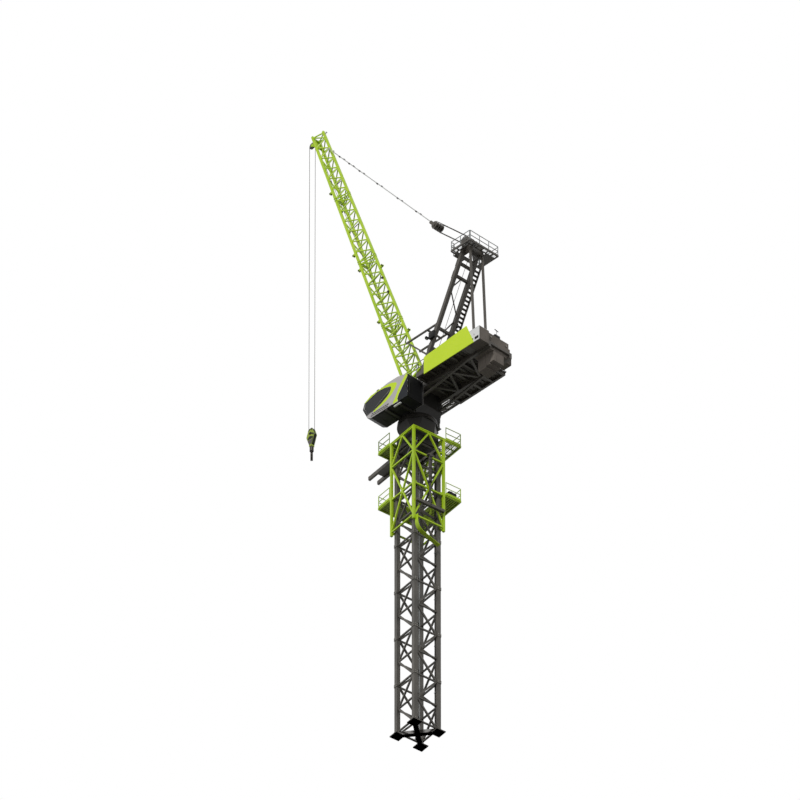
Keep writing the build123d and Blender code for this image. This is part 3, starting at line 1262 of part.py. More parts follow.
crosshead_z = HOOK_SHEAVE_Z - SHEAVE_RADIUS - CROSSHEAD_DROP
with BuildPart() as hook_block:
    with BuildSketch(upright(BLOCK_GAP + HOOK_CHEEK), upright(-BLOCK_GAP)):
        with BuildLine():
            Polyline(
                (TIP.X - BLOCK_FOOT, crosshead_z),
                (TIP.X + BLOCK_FOOT, crosshead_z),
                (TIP.X + BLOCK_WAIST, HOOK_SHEAVE_Z - BLOCK_WAIST_DROP),
                (TIP.X + BLOCK_CROWN, HOOK_SHEAVE_Z + BLOCK_HEAD),
                (TIP.X - BLOCK_CROWN, HOOK_SHEAVE_Z + BLOCK_HEAD),
                (TIP.X - BLOCK_WAIST, HOOK_SHEAVE_Z - BLOCK_WAIST_DROP),
                close=True,
            )
        make_face()
    extrude(amount=HOOK_CHEEK)
    with BuildSketch(upright(BLOCK_GAP + HOOK_CHEEK)):
        with Locations((TIP.X, HOOK_SHEAVE_Z)):
            Circle(AXLE_RADIUS)
    extrude(amount=2 * (BLOCK_GAP + HOOK_CHEEK))
    with BuildSketch(Plane.XY.offset(crosshead_z)):
        with Locations((TIP.X, 0)):
            Rectangle(2 * BLOCK_FOOT, 2 * (BLOCK_GAP + HOOK_CHEEK))
            Circle(HOOK_SHANK_RADIUS + PIN_GAP, mode=Mode.SUBTRACT)
    extrude(amount=-CROSSHEAD_THICK)
    with BuildSketch(upright(SHEAVE_THICK / 2)):
        with Locations((TIP.X, HOOK_SHEAVE_Z)):
            Circle(SHEAVE_RADIUS)
            Circle(AXLE_RADIUS + PIN_GAP, mode=Mode.SUBTRACT)
    extrude(amount=SHEAVE_THICK)
save(hook_block.part, "hook_block")

bowl_z = crosshead_z - CROSSHEAD_THICK - SHANK_DROP - HOOK_EYE_RADIUS
hook_turn = radians(HOOK_TURN)
hook_plane = Plane(
    origin=(TIP.X, 0, bowl_z),
    x_dir=(cos(hook_turn), sin(hook_turn), 0),
    z_dir=(sin(hook_turn), -cos(hook_turn), 0),
)
with BuildPart() as hook:
    with BuildSketch(Plane.XY.offset(crosshead_z + RUNNING_GAP)):
        with Locations((TIP.X, 0)):
            Circle(HOOK_SHANK_RADIUS + NUT_LIP)
    extrude(amount=NUT_HEIGHT)
    with BuildSketch(Plane.XY.offset(bowl_z + HOOK_EYE_RADIUS)):
        with Locations((TIP.X, 0)):
            Circle(HOOK_SHANK_RADIUS)
    extrude(amount=crosshead_z + NUT_HEIGHT - bowl_z - HOOK_EYE_RADIUS)
    with BuildSketch(Plane.XY.offset(crosshead_z - CROSSHEAD_THICK - KNUCKLE_GAP)):
        with Locations((TIP.X, 0)):
            Circle(KNUCKLE_RADIUS)
    extrude(amount=-KNUCKLE_HEIGHT)
    with BuildSketch(hook_plane):
        with BuildLine():
            CenterArc((0, 0), HOOK_EYE_RADIUS, 90, -HOOK_WRAP)
        trace(line_width=HOOK_THICK)
    extrude(amount=HOOK_THICK / 2, both=True)
save(hook.part, "hook")
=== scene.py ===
"""Finishes and fine detail for the half-size tower crane with a luffing jib.

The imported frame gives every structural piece. This script lights it, gives each piece the finish of
the real one, and adds what the frame leaves out: bolts, gratings, ladders, ropes, lamps and fittings.
Sizes are in millimetres and turn to metres as a piece is made.
"""

from __future__ import annotations

import json
import logging
import math
from dataclasses import dataclass, field
from enum import Enum
from typing import Any, Iterable, Sequence

import bpy
from mathutils import Matrix, Vector

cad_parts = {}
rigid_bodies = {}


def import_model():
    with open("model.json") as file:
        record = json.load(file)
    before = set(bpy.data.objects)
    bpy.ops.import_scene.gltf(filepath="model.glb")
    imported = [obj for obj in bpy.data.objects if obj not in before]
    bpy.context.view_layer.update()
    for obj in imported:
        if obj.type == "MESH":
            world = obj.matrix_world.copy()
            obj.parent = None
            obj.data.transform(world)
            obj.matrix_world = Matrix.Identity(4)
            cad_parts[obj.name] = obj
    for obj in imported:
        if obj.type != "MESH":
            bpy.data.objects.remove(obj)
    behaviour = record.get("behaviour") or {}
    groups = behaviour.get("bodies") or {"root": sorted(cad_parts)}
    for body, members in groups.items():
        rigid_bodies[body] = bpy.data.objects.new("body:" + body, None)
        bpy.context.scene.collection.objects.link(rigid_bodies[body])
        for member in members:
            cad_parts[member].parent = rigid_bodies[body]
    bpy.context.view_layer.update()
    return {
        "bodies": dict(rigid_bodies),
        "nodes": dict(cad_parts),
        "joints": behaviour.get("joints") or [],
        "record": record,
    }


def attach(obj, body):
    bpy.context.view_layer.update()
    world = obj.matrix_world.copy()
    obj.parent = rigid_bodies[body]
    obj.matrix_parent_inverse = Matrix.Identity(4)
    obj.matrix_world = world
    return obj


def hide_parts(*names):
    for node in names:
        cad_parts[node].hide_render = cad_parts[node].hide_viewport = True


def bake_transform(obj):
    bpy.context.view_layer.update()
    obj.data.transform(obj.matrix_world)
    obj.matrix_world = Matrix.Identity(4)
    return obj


log = logging.getLogger("tower_crane")

MM = 0.001

# the mast stands turned against the upper works
MAST_TURN = Matrix.Rotation(math.radians(-7.3), 4, "Z")
# the jib's frame: along it, across it and square to its two lower chords
LUFF = math.radians(71.0)
PIVOT = Vector((225.0, 0.0, 16400.0)) * MM
JIB_FRAME = Matrix.Translation(PIVOT) @ Matrix.Rotation(-LUFF, 4, "Y")

# edges sharper than this are bevelled and stay sharp in the shading
SHARP = math.radians(35)
# ropes are shaded smooth across wider angles
ROPE_SMOOTH = math.radians(40)
# two directions whose product is above this count as the same
SAME_WAY = 0.99
# rods with fewer sides than this are too thin for a bevel to show
ROUND_SIDES = 11

Point = Sequence[float]
Outline = Sequence[Point]
Piece = bpy.types.Object


def linear(hex_code: str) -> tuple[float, float, float, float]:
    """Turns an sRGB hex colour into the linear colour that shaders take.

    Args:
        hex_code: Six hex digits.

    Returns:
        Red, green, blue and alpha.
    """
    channels = [int(hex_code[i : i + 2], 16) / 255 for i in (0, 2, 4)]
    return (*[c / 12.92 if c <= 0.04045 else ((c + 0.055) / 1.055) ** 2.4 for c in channels], 1.0)


def set_inputs(tree: Any, node: Any, values: dict) -> None:
    """Sets a node's inputs.

    Args:
        tree: The node tree.
        node: The node.
        values: What each input takes: a socket to be linked, or a plain value.
    """
    for name, value in values.items():
        if isinstance(value, bpy.types.NodeSocket):
            tree.links.new(value, node.inputs[name])
        else:
            node.inputs[name].default_value = value


def add_node(tree: Any, kind: str, settings: dict | None = None, links: dict | None = None) -> Any:
    """Adds one node to a tree.

    Args:
        tree: The node tree.
        kind: The node's type name.
        settings: Attributes of the node by name.
        links: What each input takes: a socket to be linked, or a plain value.

    Returns:
        The new node.
    """
    node = tree.nodes.new(kind)
    for name, value in (settings or {}).items():
        setattr(node, name, value)
    set_inputs(tree, node, links or {})
    return node


def blank_material(name: str) -> tuple[bpy.types.Material, Any, Any]:
    """Starts a node material.

    Args:
        name: The material's name.

    Returns:
        The material, its tree and its surface shader.
    """
    material = bpy.data.materials.new(name)
    material.use_nodes = True
    tree = material.node_tree
    return material, tree, tree.nodes["Principled BSDF"]


def noise(tree: Any, place: Any, size_mm: float, detail: float, rough: float = 0.5) -> Any:
    """Gives the socket with clouds of this size, from 0 to 1."""
    inputs = {"Vector": place, "Scale": 1 / (size_mm * MM), "Detail": detail, "Roughness": rough}
    return add_node(tree, "ShaderNodeTexNoise", links=inputs).outputs["Fac"]


def cells(tree: Any, place: Any, size_mm: float) -> Any:
    """Gives the node with round cells of this size."""
    return add_node(tree, "ShaderNodeTexVoronoi", links={"Vector": place, "Scale": 1 / (size_mm * MM)})


def remap(tree: Any, value: Any, start: tuple = (0.0, 1.0), end: tuple = (0.0, 1.0)) -> Any:
    """Gives the socket with a value carried over from one range to another."""
    limits = {"From Min": start[0], "From Max": start[1], "To Min": end[0], "To Max": end[1]}
    return add_node(tree, "ShaderNodeMapRange", links={"Value": value, **limits}).outputs["Result"]


def mix(tree: Any, share: Any, first: Any, second: Any) -> Any:
    """Gives the socket with the first colour and a share of the second one in it."""
    inputs = {"Factor": share, "A": first, "B": second}
    return add_node(tree, "ShaderNodeMix", {"data_type": "RGBA"}, inputs).outputs["Result"]


def mix_shaders(tree: Any, share: Any, first: Any, second: Any) -> Any:
    """Gives the socket with the first shader and a share of the second one in it."""
    return add_node(tree, "ShaderNodeMixShader", links={0: share, 1: first, 2: second}).outputs["Shader"]


def calculate(tree: Any, operation: str, first: Any, second: Any) -> Any:
    """Gives the socket with the result of one operation on two values."""
    inputs = {0: first, 1: second}
    return add_node(tree, "ShaderNodeMath", {"operation": operation}, inputs).outputs["Value"]


class Grain(Enum):
    """How the surface under a paint was made: size of its ripples in mm and how strong they are."""

    ROLLED = (9.0, 0.05)
    PRESSED = (5.0, 0.02)
    CAST = (6.0, 0.22)


@dataclass(frozen=True)
class Finish:
    """What all finishes share.

    Attributes:
        name: The material's name.
        slot: The record's slot that it belongs to; not used.
    """

    name: str
    slot: str

    def make(self) -> bpy.types.Material:
        """Builds the material from the finish's nodes.

        Returns:
            The finished material.
        """
        material, tree, shader = blank_material(self.name)
        place = add_node(tree, "ShaderNodeTexCoord").outputs["Object"]
        set_inputs(tree, shader, self.surface(tree, place))
        return material


@dataclass(frozen=True)
class PaintedSteel(Finish):
    """Enamel sprayed on structural steel, faded by weather and dirty where water runs.

    Attributes:
        colour: The paint.
        faded: The paint where the sun has bleached it.
        dirt: Soot and dried grease.
        rust: Primer and rust in the chips.
        roughness: Of clean paint.
        dirt_share: How much of the surface the dirt covers, from 0 to 1.
        patch_mm: Size of the faded patches.
        chip_mm: Size of the chips at knocks, with none at 0.
        knock_mm: Size of the places where chips gather.
        gloss: How much it mirrors: chalky, weathered paint throws back less than a new coat.
        grain: How the steel under it was made.
    """

    colour: str
    faded: str
    dirt: str = "2a2621"
    rust: str = "4a3324"
    roughness: float = 0.42
    dirt_share: float = 0.35
    patch_mm: float = 900.0
    chip_mm: float = 14.0
    knock_mm: float = 1000 / 2.2
    gloss: float = 0.3
    grain: Grain = Grain.ROLLED

    def surface(self, tree: Any, place: Any) -> dict[str, Any]:
        """Fades the paint in broad patches, lets dirt run down it and knocks chips out.

        Args:
            tree: The node tree.
            place: The socket with the place on the piece.

        Returns:
            What the surface shader's inputs take.
        """
        # bleached patches with soft rims, over about half of the surface
        patches = noise(tree, place, self.patch_mm, 5.0, 0.6)
        paint = mix(tree, remap(tree, patches, (0.35, 0.68)), linear(self.colour), linear(self.faded))
        dirt = self.rain_runs(tree, place)
        paint = mix(tree, dirt, paint, linear(self.dirt))
        if self.chip_mm:
            paint = mix(tree, self.chips(tree, place), paint, linear(self.rust))
        ripple_mm, strength = self.grain.value
        ripples = {"Height": noise(tree, place, ripple_mm, 3.0), "Strength": strength, "Distance": 2 * MM}
        return {
            "Base Color": paint,
            "Roughness": remap(tree, dirt, end=(self.roughness, min(1.0, self.roughness + 0.35))),
            "Specular IOR Level": self.gloss,
            "Normal": add_node(tree, "ShaderNodeBump", links=ripples).outputs["Normal"],
        }

    def rain_runs(self, tree: Any, place: Any) -> Any:
        """Draws dirt into long upright runs, as rain leaves it.

        Args:
            tree: The node tree.
            place: The socket with the place on the piece.

        Returns:
            The socket with the share of dirt.
        """
        # runs are about 70 mm wide and ten times as long
        stretch = {"Vector": place, "Scale": (14.0, 14.0, 1.4)}
        drawn_out = add_node(tree, "ShaderNodeMapping", links=stretch).outputs["Vector"]
        runs = noise(tree, drawn_out, 1000.0, 6.0, 0.65)
        cover = (0.74 - 0.35 * self.dirt_share, 0.95 - 0.2 * self.dirt_share)
        return remap(tree, runs, cover, (0.0, 0.85))

    def chips(self, tree: Any, place: Any) -> Any:
        """Knocks small chips out of the paint, in a few clusters.

        Args:
            tree: The node tree.
            place: The socket with the place on the piece.

        Returns:
            The socket with 1 in a chip and 0 outside.
        """
        # a chip is the middle of a cell, and only where the clouds are thickest
        spots = remap(tree, cells(tree, place, 4 * self.chip_mm).outputs["Distance"], (0.16, 0.1))
        knocked = remap(tree, noise(tree, place, self.knock_mm, 4.0, 0.7), (0.6, 0.66))
        return calculate(tree, "MULTIPLY", spots, knocked)


@dataclass(frozen=True)
class BareSteel(Finish):
    """Steel without paint: galvanised, greased or worn bright.

    Attributes:
        colour: The metal.
        stain: Grease, zinc bloom or rust in patches.
        roughness: Of the clean metal.
        spangle_mm: Size of the crystals or of the stains.
        metallic: From 0, all grease, to 1, clean metal.
    """

    colour: str
    stain: str
    roughness: float = 0.45
    spangle_mm: float = 18.0
    metallic: float = 0.9

    def surface(self, tree: Any, place: Any) -> dict[str, Any]:
        """Stains the metal crystal by crystal, more in some places than in others.

        Args:
            tree: The node tree.
            place: The socket with the place on the piece.

        Returns:
            What the surface shader's inputs take.
        """
        crystals = cells(tree, place, self.spangle_mm).outputs["Color"]
        clouds = noise(tree, place, 9 * self.spangle_mm, 5.0)
        spangle = add_node(tree, "ShaderNodeSeparateColor", links={"Color": crystals}).outputs["Red"]
        stained = calculate(tree, "MULTIPLY", spangle, clouds)
        return {
            "Base Color": mix(tree, stained, linear(self.colour), linear(self.stain)),
            "Roughness": remap(tree, clouds, end=(self.roughness - 0.1, self.roughness + 0.25)),
            "Metallic": self.metallic,
        }


@dataclass(frozen=True)
class SafetyGlass(Finish):
    """Laminated safety glass with a dark tint, a little dusty.

    Attributes:
        tint: Colour of the light that passes.
        dust: Colour of the dust.
        clear: How much light passes, from 0 to 1.
        dust_mm: Size of the dusty patches.
        gloss: How much it mirrors.
    """

    tint: str
    dust: str
    clear: float = 0.4
    dust_mm: float = 160.0
    gloss: float = 0.2

    def surface(self, tree: Any, place: Any) -> dict[str, Any]:
        """Spreads a thin film of dust on the glass.

        Args:
            tree: The node tree.
            place: The socket with the place on the piece.

        Returns:
            What the surface shader's inputs take.
        """
        film = noise(tree, place, self.dust_mm, 6.0)
        return {
            "Base Color": mix(tree, film, linear(self.tint), linear(self.dust)),
            "Roughness": remap(tree, film, end=(0.03, 0.14)),
            "IOR": 1.5,
            "Specular IOR Level": self.gloss,
            "Transmission Weight": self.clear,
        }


def lacquer(name: str, slot: str, colour: str, faded: str, dirt: float, **more: float) -> PaintedSteel:
    """Gives the finish of lacquered sheet, which is flatter and cleaner than enamel on sections."""
    return PaintedSteel(name, slot, colour, faded, dirt_share=dirt, grain=Grain.PRESSED, **more)


FINISHES = {
    # two-pack enamel on rolled sections: a satin grey, streaked by rain
    "mast_grey": PaintedSteel("weathered_grey_enamel", "mast_grey", "484540", "5d5952", dirt_share=0.5),
    # the same enamel in lime: bright, a little bleached, dirty in the corners
    "lime": PaintedSteel("lime_green_enamel", "lime_paint", "9fc010", "b0cb26", dirt_share=0.32),
    # the same enamel on the hook block, where rope grease has dulled it
    "hook_lime": PaintedSteel("greasy_lime_enamel", "lime_paint", "86982c", "94a53a", dirt_share=0.5),
    # charcoal enamel, nearly black where the light doesn't reach
    "charcoal": PaintedSteel("charcoal_enamel", "dark_paint", "423e38", "544f48", dirt_share=0.4),
    # charcoal enamel darkened to nearly black as painted shade, for the turntable and slewing support
    # that sit in the shade round the slewing ring
    "ring_shade_charcoal": PaintedSteel(
        "charcoal_enamel_painted_shade", "dark_paint", "22211e", "2c2a27", dirt_share=0.3, gloss=0.2
    ),
    # grey masonry paint on cast concrete, and as dull on the cabinet beside it: matt, pitted and stained
    "weight_paint": PaintedSteel(
        "painted_concrete", "weight_concrete", "5e5851", "766e66",
        roughness=0.85, dirt_share=0.45, grain=Grain.CAST,
    ),
    # moulded plastic and rubber: dark, even, a soft sheen
    "black_plastic": PaintedSteel(
        "black_moulded_plastic", "dark_paint", "131313", "1c1c1c",
        dirt_share=0.12, chip_mm=0.0, gloss=0.15,
    ),
    # hot-dip zinc: dull blue-grey crystals
    "zinc": BareSteel("galvanised_steel", "rail_galvanised", "8b8d8c", "6f7272", roughness=0.5),
    # metal under rope grease: dark, with a wet shine
    "greased_steel": BareSteel(
        "greased_forged_steel", "sheave_steel", "3a3733", "1d1a17", roughness=0.4, metallic=0.75
    ),
    # twisted wires, so that the grease on them shines less
    "wire_rope": BareSteel(
        "greased_wire_rope", "rope_steel", "45423d", "2b2723", roughness=0.55, metallic=0.7
    ),
    # steel that is rubbed bright again and again
    "worn_steel": BareSteel("worn_bright_steel", "dark_steel", "9a9893", "6b675f", roughness=0.35),
    # tinted glass: nearly black from outside, with the seat just visible
    "glass": SafetyGlass("tinted_safety_glass", "cab_glass", "0c0e12", "1c2022", clear=0.15),
    "lamp_glass": SafetyGlass("lamp_lens_glass", "cab_glass", "cfd4d4", "b9bdbb", clear=0.5),
    # lacquer for the big panel: an even lime, nearly clean
    "panel_lime": lacquer("lime_green_panel_lacquer", "lime_paint", "bcd70e", "c3db20", 0.08),
    # lacquers of the cab: a smooth silver body, and a door that is nearly black
    "cab_silver": lacquer("silver_grey_lacquer", "cab_silver", "aaa6a4", "b8b5b3", 0.15, roughness=0.32),
    "door_blue": lacquer(
        "blue_black_lacquer", "dark_paint", "14171c", "1d2127", 0.1, roughness=0.3, gloss=0.1
    ),
    # lacquers of bought-in parts: motors in grey, cabinet doors and the cab's step in white
    "cabinet_grey": lacquer("light_grey_lacquer", "cabinet_grey", "a4a4a1", "b4b4b1", 0.22),
    "trim_white": lacquer("white_lacquer", "cabinet_grey", "d2d2cf", "dadad7", 0.12),
}

# the finish of each piece of the frame
NODE_FINISH = {
    "mast_grey": "base_frame mast_legs mast_side_left mast_side_back mast_side_right mast_side_front",
    "lime": "cage_posts cage_sides cage_platforms cage_rails cable_chute "
    "jib_foot_section jib_lower_section jib_upper_section jib_head_section",
    "hook_lime": "hook_block",
    "panel_lime": "banner_panels",
    "charcoal": "climbing_cylinder entry_rails counter_jib_frame deck hoist_winch luffing_winch "
    "a_frame_legs a_frame_beams back_stays a_frame_head head_platform a_frame_stair jib_backstop "
    "floating_block",
    # the turntable and the slewing support take the charcoal darkened as painted shade
    "ring_shade_charcoal": "slewing_support turntable",
    "cab_silver": "cab_shell",
    "glass": "cab_glass",
    "weight_paint": "cabinet counterweights",
    "zinc": "upper_rails",
    "greased_steel": "slewing_bearing jib_pins head_sheaves tip_sheave hook",
    "cabinet_grey": "pendant_lines",
    "wire_rope": "luffing_falls hoist_ropes",
}


def deselect() -> None:
    """Leaves nothing selected, so that the next operator acts on its own piece alone."""
    if bpy.context.object and bpy.context.object.mode != "OBJECT":
        bpy.ops.object.mode_set(mode="OBJECT")
    bpy.ops.object.select_all(action="DESELECT")


def activate(*pieces: Piece) -> None:
    """Selects these pieces alone and makes the first one active."""
    deselect()
    for piece in pieces:
        piece.select_set(True)
    bpy.context.view_layer.objects.active = pieces[0]


def settle() -> Piece:
    """Moves the place of the piece that was just added into its mesh.

    Returns:
        The piece, at the origin.
    """
    bpy.ops.object.transform_apply(location=True, rotation=True, scale=True)
    return bpy.context.object


def break_edges(piece: Piece, width: float, segments: int = 1) -> Piece:
    """Takes the sharpness off a piece's edges.

    Args:
        piece: What is bevelled.
        width: Of the bevel.
        segments: Across the bevel.

    Returns:
        The same piece.
    """
    if width:
        activate(piece)
        bpy.ops.object.mode_set(mode="EDIT")
        bpy.ops.mesh.select_mode(type="EDGE")
        bpy.ops.mesh.select_all(action="DESELECT")
        bpy.ops.mesh.edges_select_sharp(sharpness=SHARP)
        bpy.ops.mesh.bevel(offset=width * MM, segments=segments, affect="EDGES", clamp_overlap=True)
        bpy.ops.object.mode_set(mode="OBJECT")
    return piece


def block(low: Point, high: Point, chamfer: float = 3.0, segments: int = 1) -> Piece:
    """Makes a square piece between two corners.

    Args:
        low: Its lowest corner.
        high: Its highest corner.
        chamfer: Width of its broken edges.
        segments: Across each broken edge.

    Returns:
        The piece.
    """
    deselect()
    start, end = Vector(low) * MM, Vector(high) * MM
    bpy.ops.mesh.primitive_cube_add(size=1.0, location=(start + end) / 2, scale=end - start)
    return break_edges(settle(), chamfer, segments)


def lie_between(start: Point, end: Point) -> tuple[float, dict[str, Any]]:
    """Works out how a long piece lies between two points.

    Args:
        start: One end.
        end: The other end.

    Returns:
        Its length, and its place and turn as an operator takes them.
    """
    first, last = Vector(start) * MM, Vector(end) * MM
    run = last - first
    turn = run.to_track_quat("Z", "Y").to_euler()
    return run.length, {"location": (first + last) / 2, "rotation": turn}


def bar(start: Point, end: Point, width: float, depth: float, chamfer: float = 2.0) -> Piece:
    """Makes a straight bar of square section between two points.

    Args:
        start: Middle of one end.
        end: Middle of the other end.
        width: Across, level where the bar isn't upright.
        depth: In the other direction across.
        chamfer: Width of its broken edges.

    Returns:
        The piece.
    """
    deselect()
    length, place = lie_between(start, end)
    bpy.ops.mesh.primitive_cube_add(size=1.0, scale=(width * MM, depth * MM, length), **place)
    return break_edges(settle(), chamfer)


def rod(start: Point, end: Point, radius: float, sides: int = 16, chamfer: float = 1.5) -> Piece:
    """Makes a round bar between two points.

    Args:
        start: Middle of one end.
        end: Middle of the other end.
        radius: Of the bar.
        sides: Round its section.
        chamfer: Width of its broken end edges.

    Returns:
        The piece.
    """
    deselect()
    length, place = lie_between(start, end)
    bpy.ops.mesh.primitive_cylinder_add(vertices=sides, radius=radius * MM, depth=length, **place)
    return break_edges(settle(), chamfer if sides >= ROUND_SIDES else 0.0)


def plate(outline: Outline, axis: str, low: float, high: float, chamfer: float = 0.0) -> Piece:
    """Makes a flat plate with a free outline.

    Args:
        outline: Corners in the two directions other than the axis, in the order X, Y, Z.
        axis: The letter of the direction through the plate.
        low: Its lower face along that axis.
        high: Its upper face.
        chamfer: Width of its broken edges.

    Returns:
        The piece.
    """
    deselect()
    bpy.ops.mesh.primitive_circle_add(vertices=len(outline), radius=1.0, fill_type="NGON")
    piece = bpy.context.object
    through = "XYZ".index(axis)
    for vertex, corner in zip(piece.data.vertices, outline):
        spot = list(corner)
        spot.insert(through, low)
        vertex.co = Vector(spot) * MM
    step = [0.0, 0.0, 0.0]
    step[through] = (high - low) * MM
    activate(piece)
    bpy.ops.object.mode_set(mode="EDIT")
    bpy.ops.mesh.select_all(action="SELECT")
    bpy.ops.mesh.extrude_region_move(TRANSFORM_OT_translate={"value": step})
    bpy.ops.mesh.select_all(action="SELECT")
    bpy.ops.mesh.normals_make_consistent(inside=False)
    bpy.ops.object.mode_set(mode="OBJECT")
    return break_edges(piece, chamfer)


def hoop(centre: Point, radius: float, wire: float, turn: Point = (0, 0, 0), steps: int = 24) -> Piece:
    """Makes a closed ring of round wire.

    Args:
        centre: Of the ring.
        radius: To the middle of the wire.
        wire: Radius of the wire.
        turn: Degrees about X, Y and Z from lying flat.
        steps: Round the ring.

    Returns:
        The piece.
    """
    deselect()
    bpy.ops.mesh.primitive_torus_add(
        major_segments=steps,
        minor_segments=6,
        major_radius=radius * MM,
        minor_radius=wire * MM,
        location=Vector(centre) * MM,
        rotation=[math.radians(angle) for angle in turn],
    )
    return settle()


def choose(piece: Piece, kind: str, chosen: Sequence[bool]) -> None:
    """Opens a piece for editing with some of its faces or edges selected.

    Args:
        piece: What is edited.
        kind: FACE or EDGE.
        chosen: For each of them, whether it is selected.
    """
    activate(piece)
    bpy.ops.object.mode_set(mode="EDIT")
    bpy.ops.mesh.select_mode(type=kind)
    bpy.ops.mesh.select_all(action="DESELECT")
    bpy.ops.object.mode_set(mode="OBJECT")
    parts = piece.data.polygons if kind == "FACE" else piece.data.edges
    for part, choice in zip(parts, chosen):
        part.select = choice
    bpy.ops.object.mode_set(mode="EDIT")


def sunk_panel(piece: Piece, normal: Point, margin: float, depth: float) -> Piece:
    """Sinks a panel into the faces of a piece that look one way.

    Args:
        piece: What is worked on.
        normal: Which way those faces look.
        margin: Rim that stays around each panel.
        depth: How far it goes in.

    Returns:
        The same piece.
    """
    towards = Vector(normal).normalized()
    choose(piece, "FACE", [face.normal.dot(towards) > SAME_WAY for face in piece.data.polygons])
    bpy.ops.mesh.inset(thickness=margin * MM, depth=0.0)
    bpy.ops.mesh.inset(thickness=abs(depth) * MM, depth=-depth * MM)
    bpy.ops.object.mode_set(mode="OBJECT")
    return piece


def hex_head(radius: float, height: float) -> Piece:
    """Makes a bolt head on its washer, standing out along X from the origin.

    Args:
        radius: Of the head over its corners.
        height: Of the head.

    Returns:
        The piece.
    """
    thick = 4
    washer = rod((0, 0, 0), (thick, 0, 0), 1.35 * radius, 10)
    head = rod((thick, 0, 0), (thick + height, 0, 0), radius, 6)
    return merge([washer, head])


def offset(base: Point, *steps: Point) -> list[Vector]:
    """Gives the points that lie these steps from a base."""
    return [Vector(base) + Vector(step) for step in steps]


def shifts(points: Iterable[Point]) -> list[Matrix]:
    """Turns points into the moves that take a piece there."""
    return [Matrix.Translation(Vector(point) * MM) for point in points]


def copies(piece: Piece, places: Iterable[Matrix]) -> Piece:
    """Sets a copy of a piece at each place, each with its own mesh, and joins them.

    Args:
        piece: The pattern, which is used up.
        places: Where each copy goes.

    Returns:
        All copies as one piece.
    """
    made = []
    for place in places:
        twin = piece.copy()
        twin.data = piece.data.copy()
        twin.data.transform(place)
        if place.determinant() < 0:
            twin.data.flip_normals()
        bpy.context.scene.collection.objects.link(twin)
        made.append(twin)
    bpy.data.objects.remove(piece)
    return merge(made)


def row(piece: Piece, count: int, step: Point) -> Piece:
    """Repeats a piece in a straight row.

    Args:
        piece: The first of the row.
        count: How many stand in it.
        step: From each to the next.

    Returns:
        The row as one piece.
    """
    activate(piece)
    array = piece.modifiers.new("row", "ARRAY")
    array.count = count
    array.use_relative_offset = False
    array.use_constant_offset = True
    array.constant_offset_displace = Vector(step) * MM
    bpy.ops.object.modifier_apply(modifier=array.name)
    return piece


def merge(pieces: Sequence[Piece]) -> Piece:
    """Joins pieces into one."""
    activate(*pieces)
    if len(pieces) > 1:
        bpy.ops.object.join()
    return bpy.context.object


def ring_of(piece: Piece, count: int, first: float = 0.0, centre: Point = (0, 0, 0)) -> Piece:
    """Repeats a piece round an upright axis.

    Args:
        piece: The first one.
        count: How many stand on the circle.
        first: Degrees by which the first one is turned.
        centre: Where the axis stands.

    Returns:
        The circle as one piece.
    """
    middle = Matrix.Translation(Vector(centre) * MM)
    turns = [Matrix.Rotation(math.radians(first + 360 * i / count), 4, "Z") for i in range(count)]
    return copies(piece, [middle @ turn @ middle.inverted() for turn in turns])


@dataclass
class Assembly:
    """Fittings of one part of the crane.

    Attributes:
        materials: The made finishes by name.
        body: The body that the fittings move with.
        frame: Where the fittings' own directions lie.
    """

    materials: dict[str, bpy.types.Material]
    body: str = "mast"
    frame: Matrix = field(default_factory=lambda: Matrix.Identity(4))

    def coat(self, piece: Piece, name: str, finish: str, smooth: float = SHARP) -> None:
        """Gives a piece its name, its finish and smooth shading.

        Args:
            piece: The joined piece.
            name: Its name.
            finish: Name of its finish.
            smooth: Widest angle between two faces that are shaded as one.
        """
        piece.name = piece.data.name = name
        piece.data.materials.clear()
        piece.data.materials.append(self.materials[finish])
        activate(piece)
        bpy.ops.object.shade_smooth_by_angle(angle=smooth)
        log.info("%s: %s, %d faces", name, finish, len(piece.data.polygons))

    def put(self, name: str, finish: str, *pieces: Piece) -> Piece:
        """Joins pieces into one, brings it to its place and gives it its finish and body.

        Args:
            name: Of the finished piece.
            finish: Name of its finish.
            pieces: What it is made of.

        Returns:
            The finished piece.
        """
        piece = merge(pieces)
        piece.data.transform(self.frame)
        self.coat(piece, name, finish)
        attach(piece, self.body)
        return piece


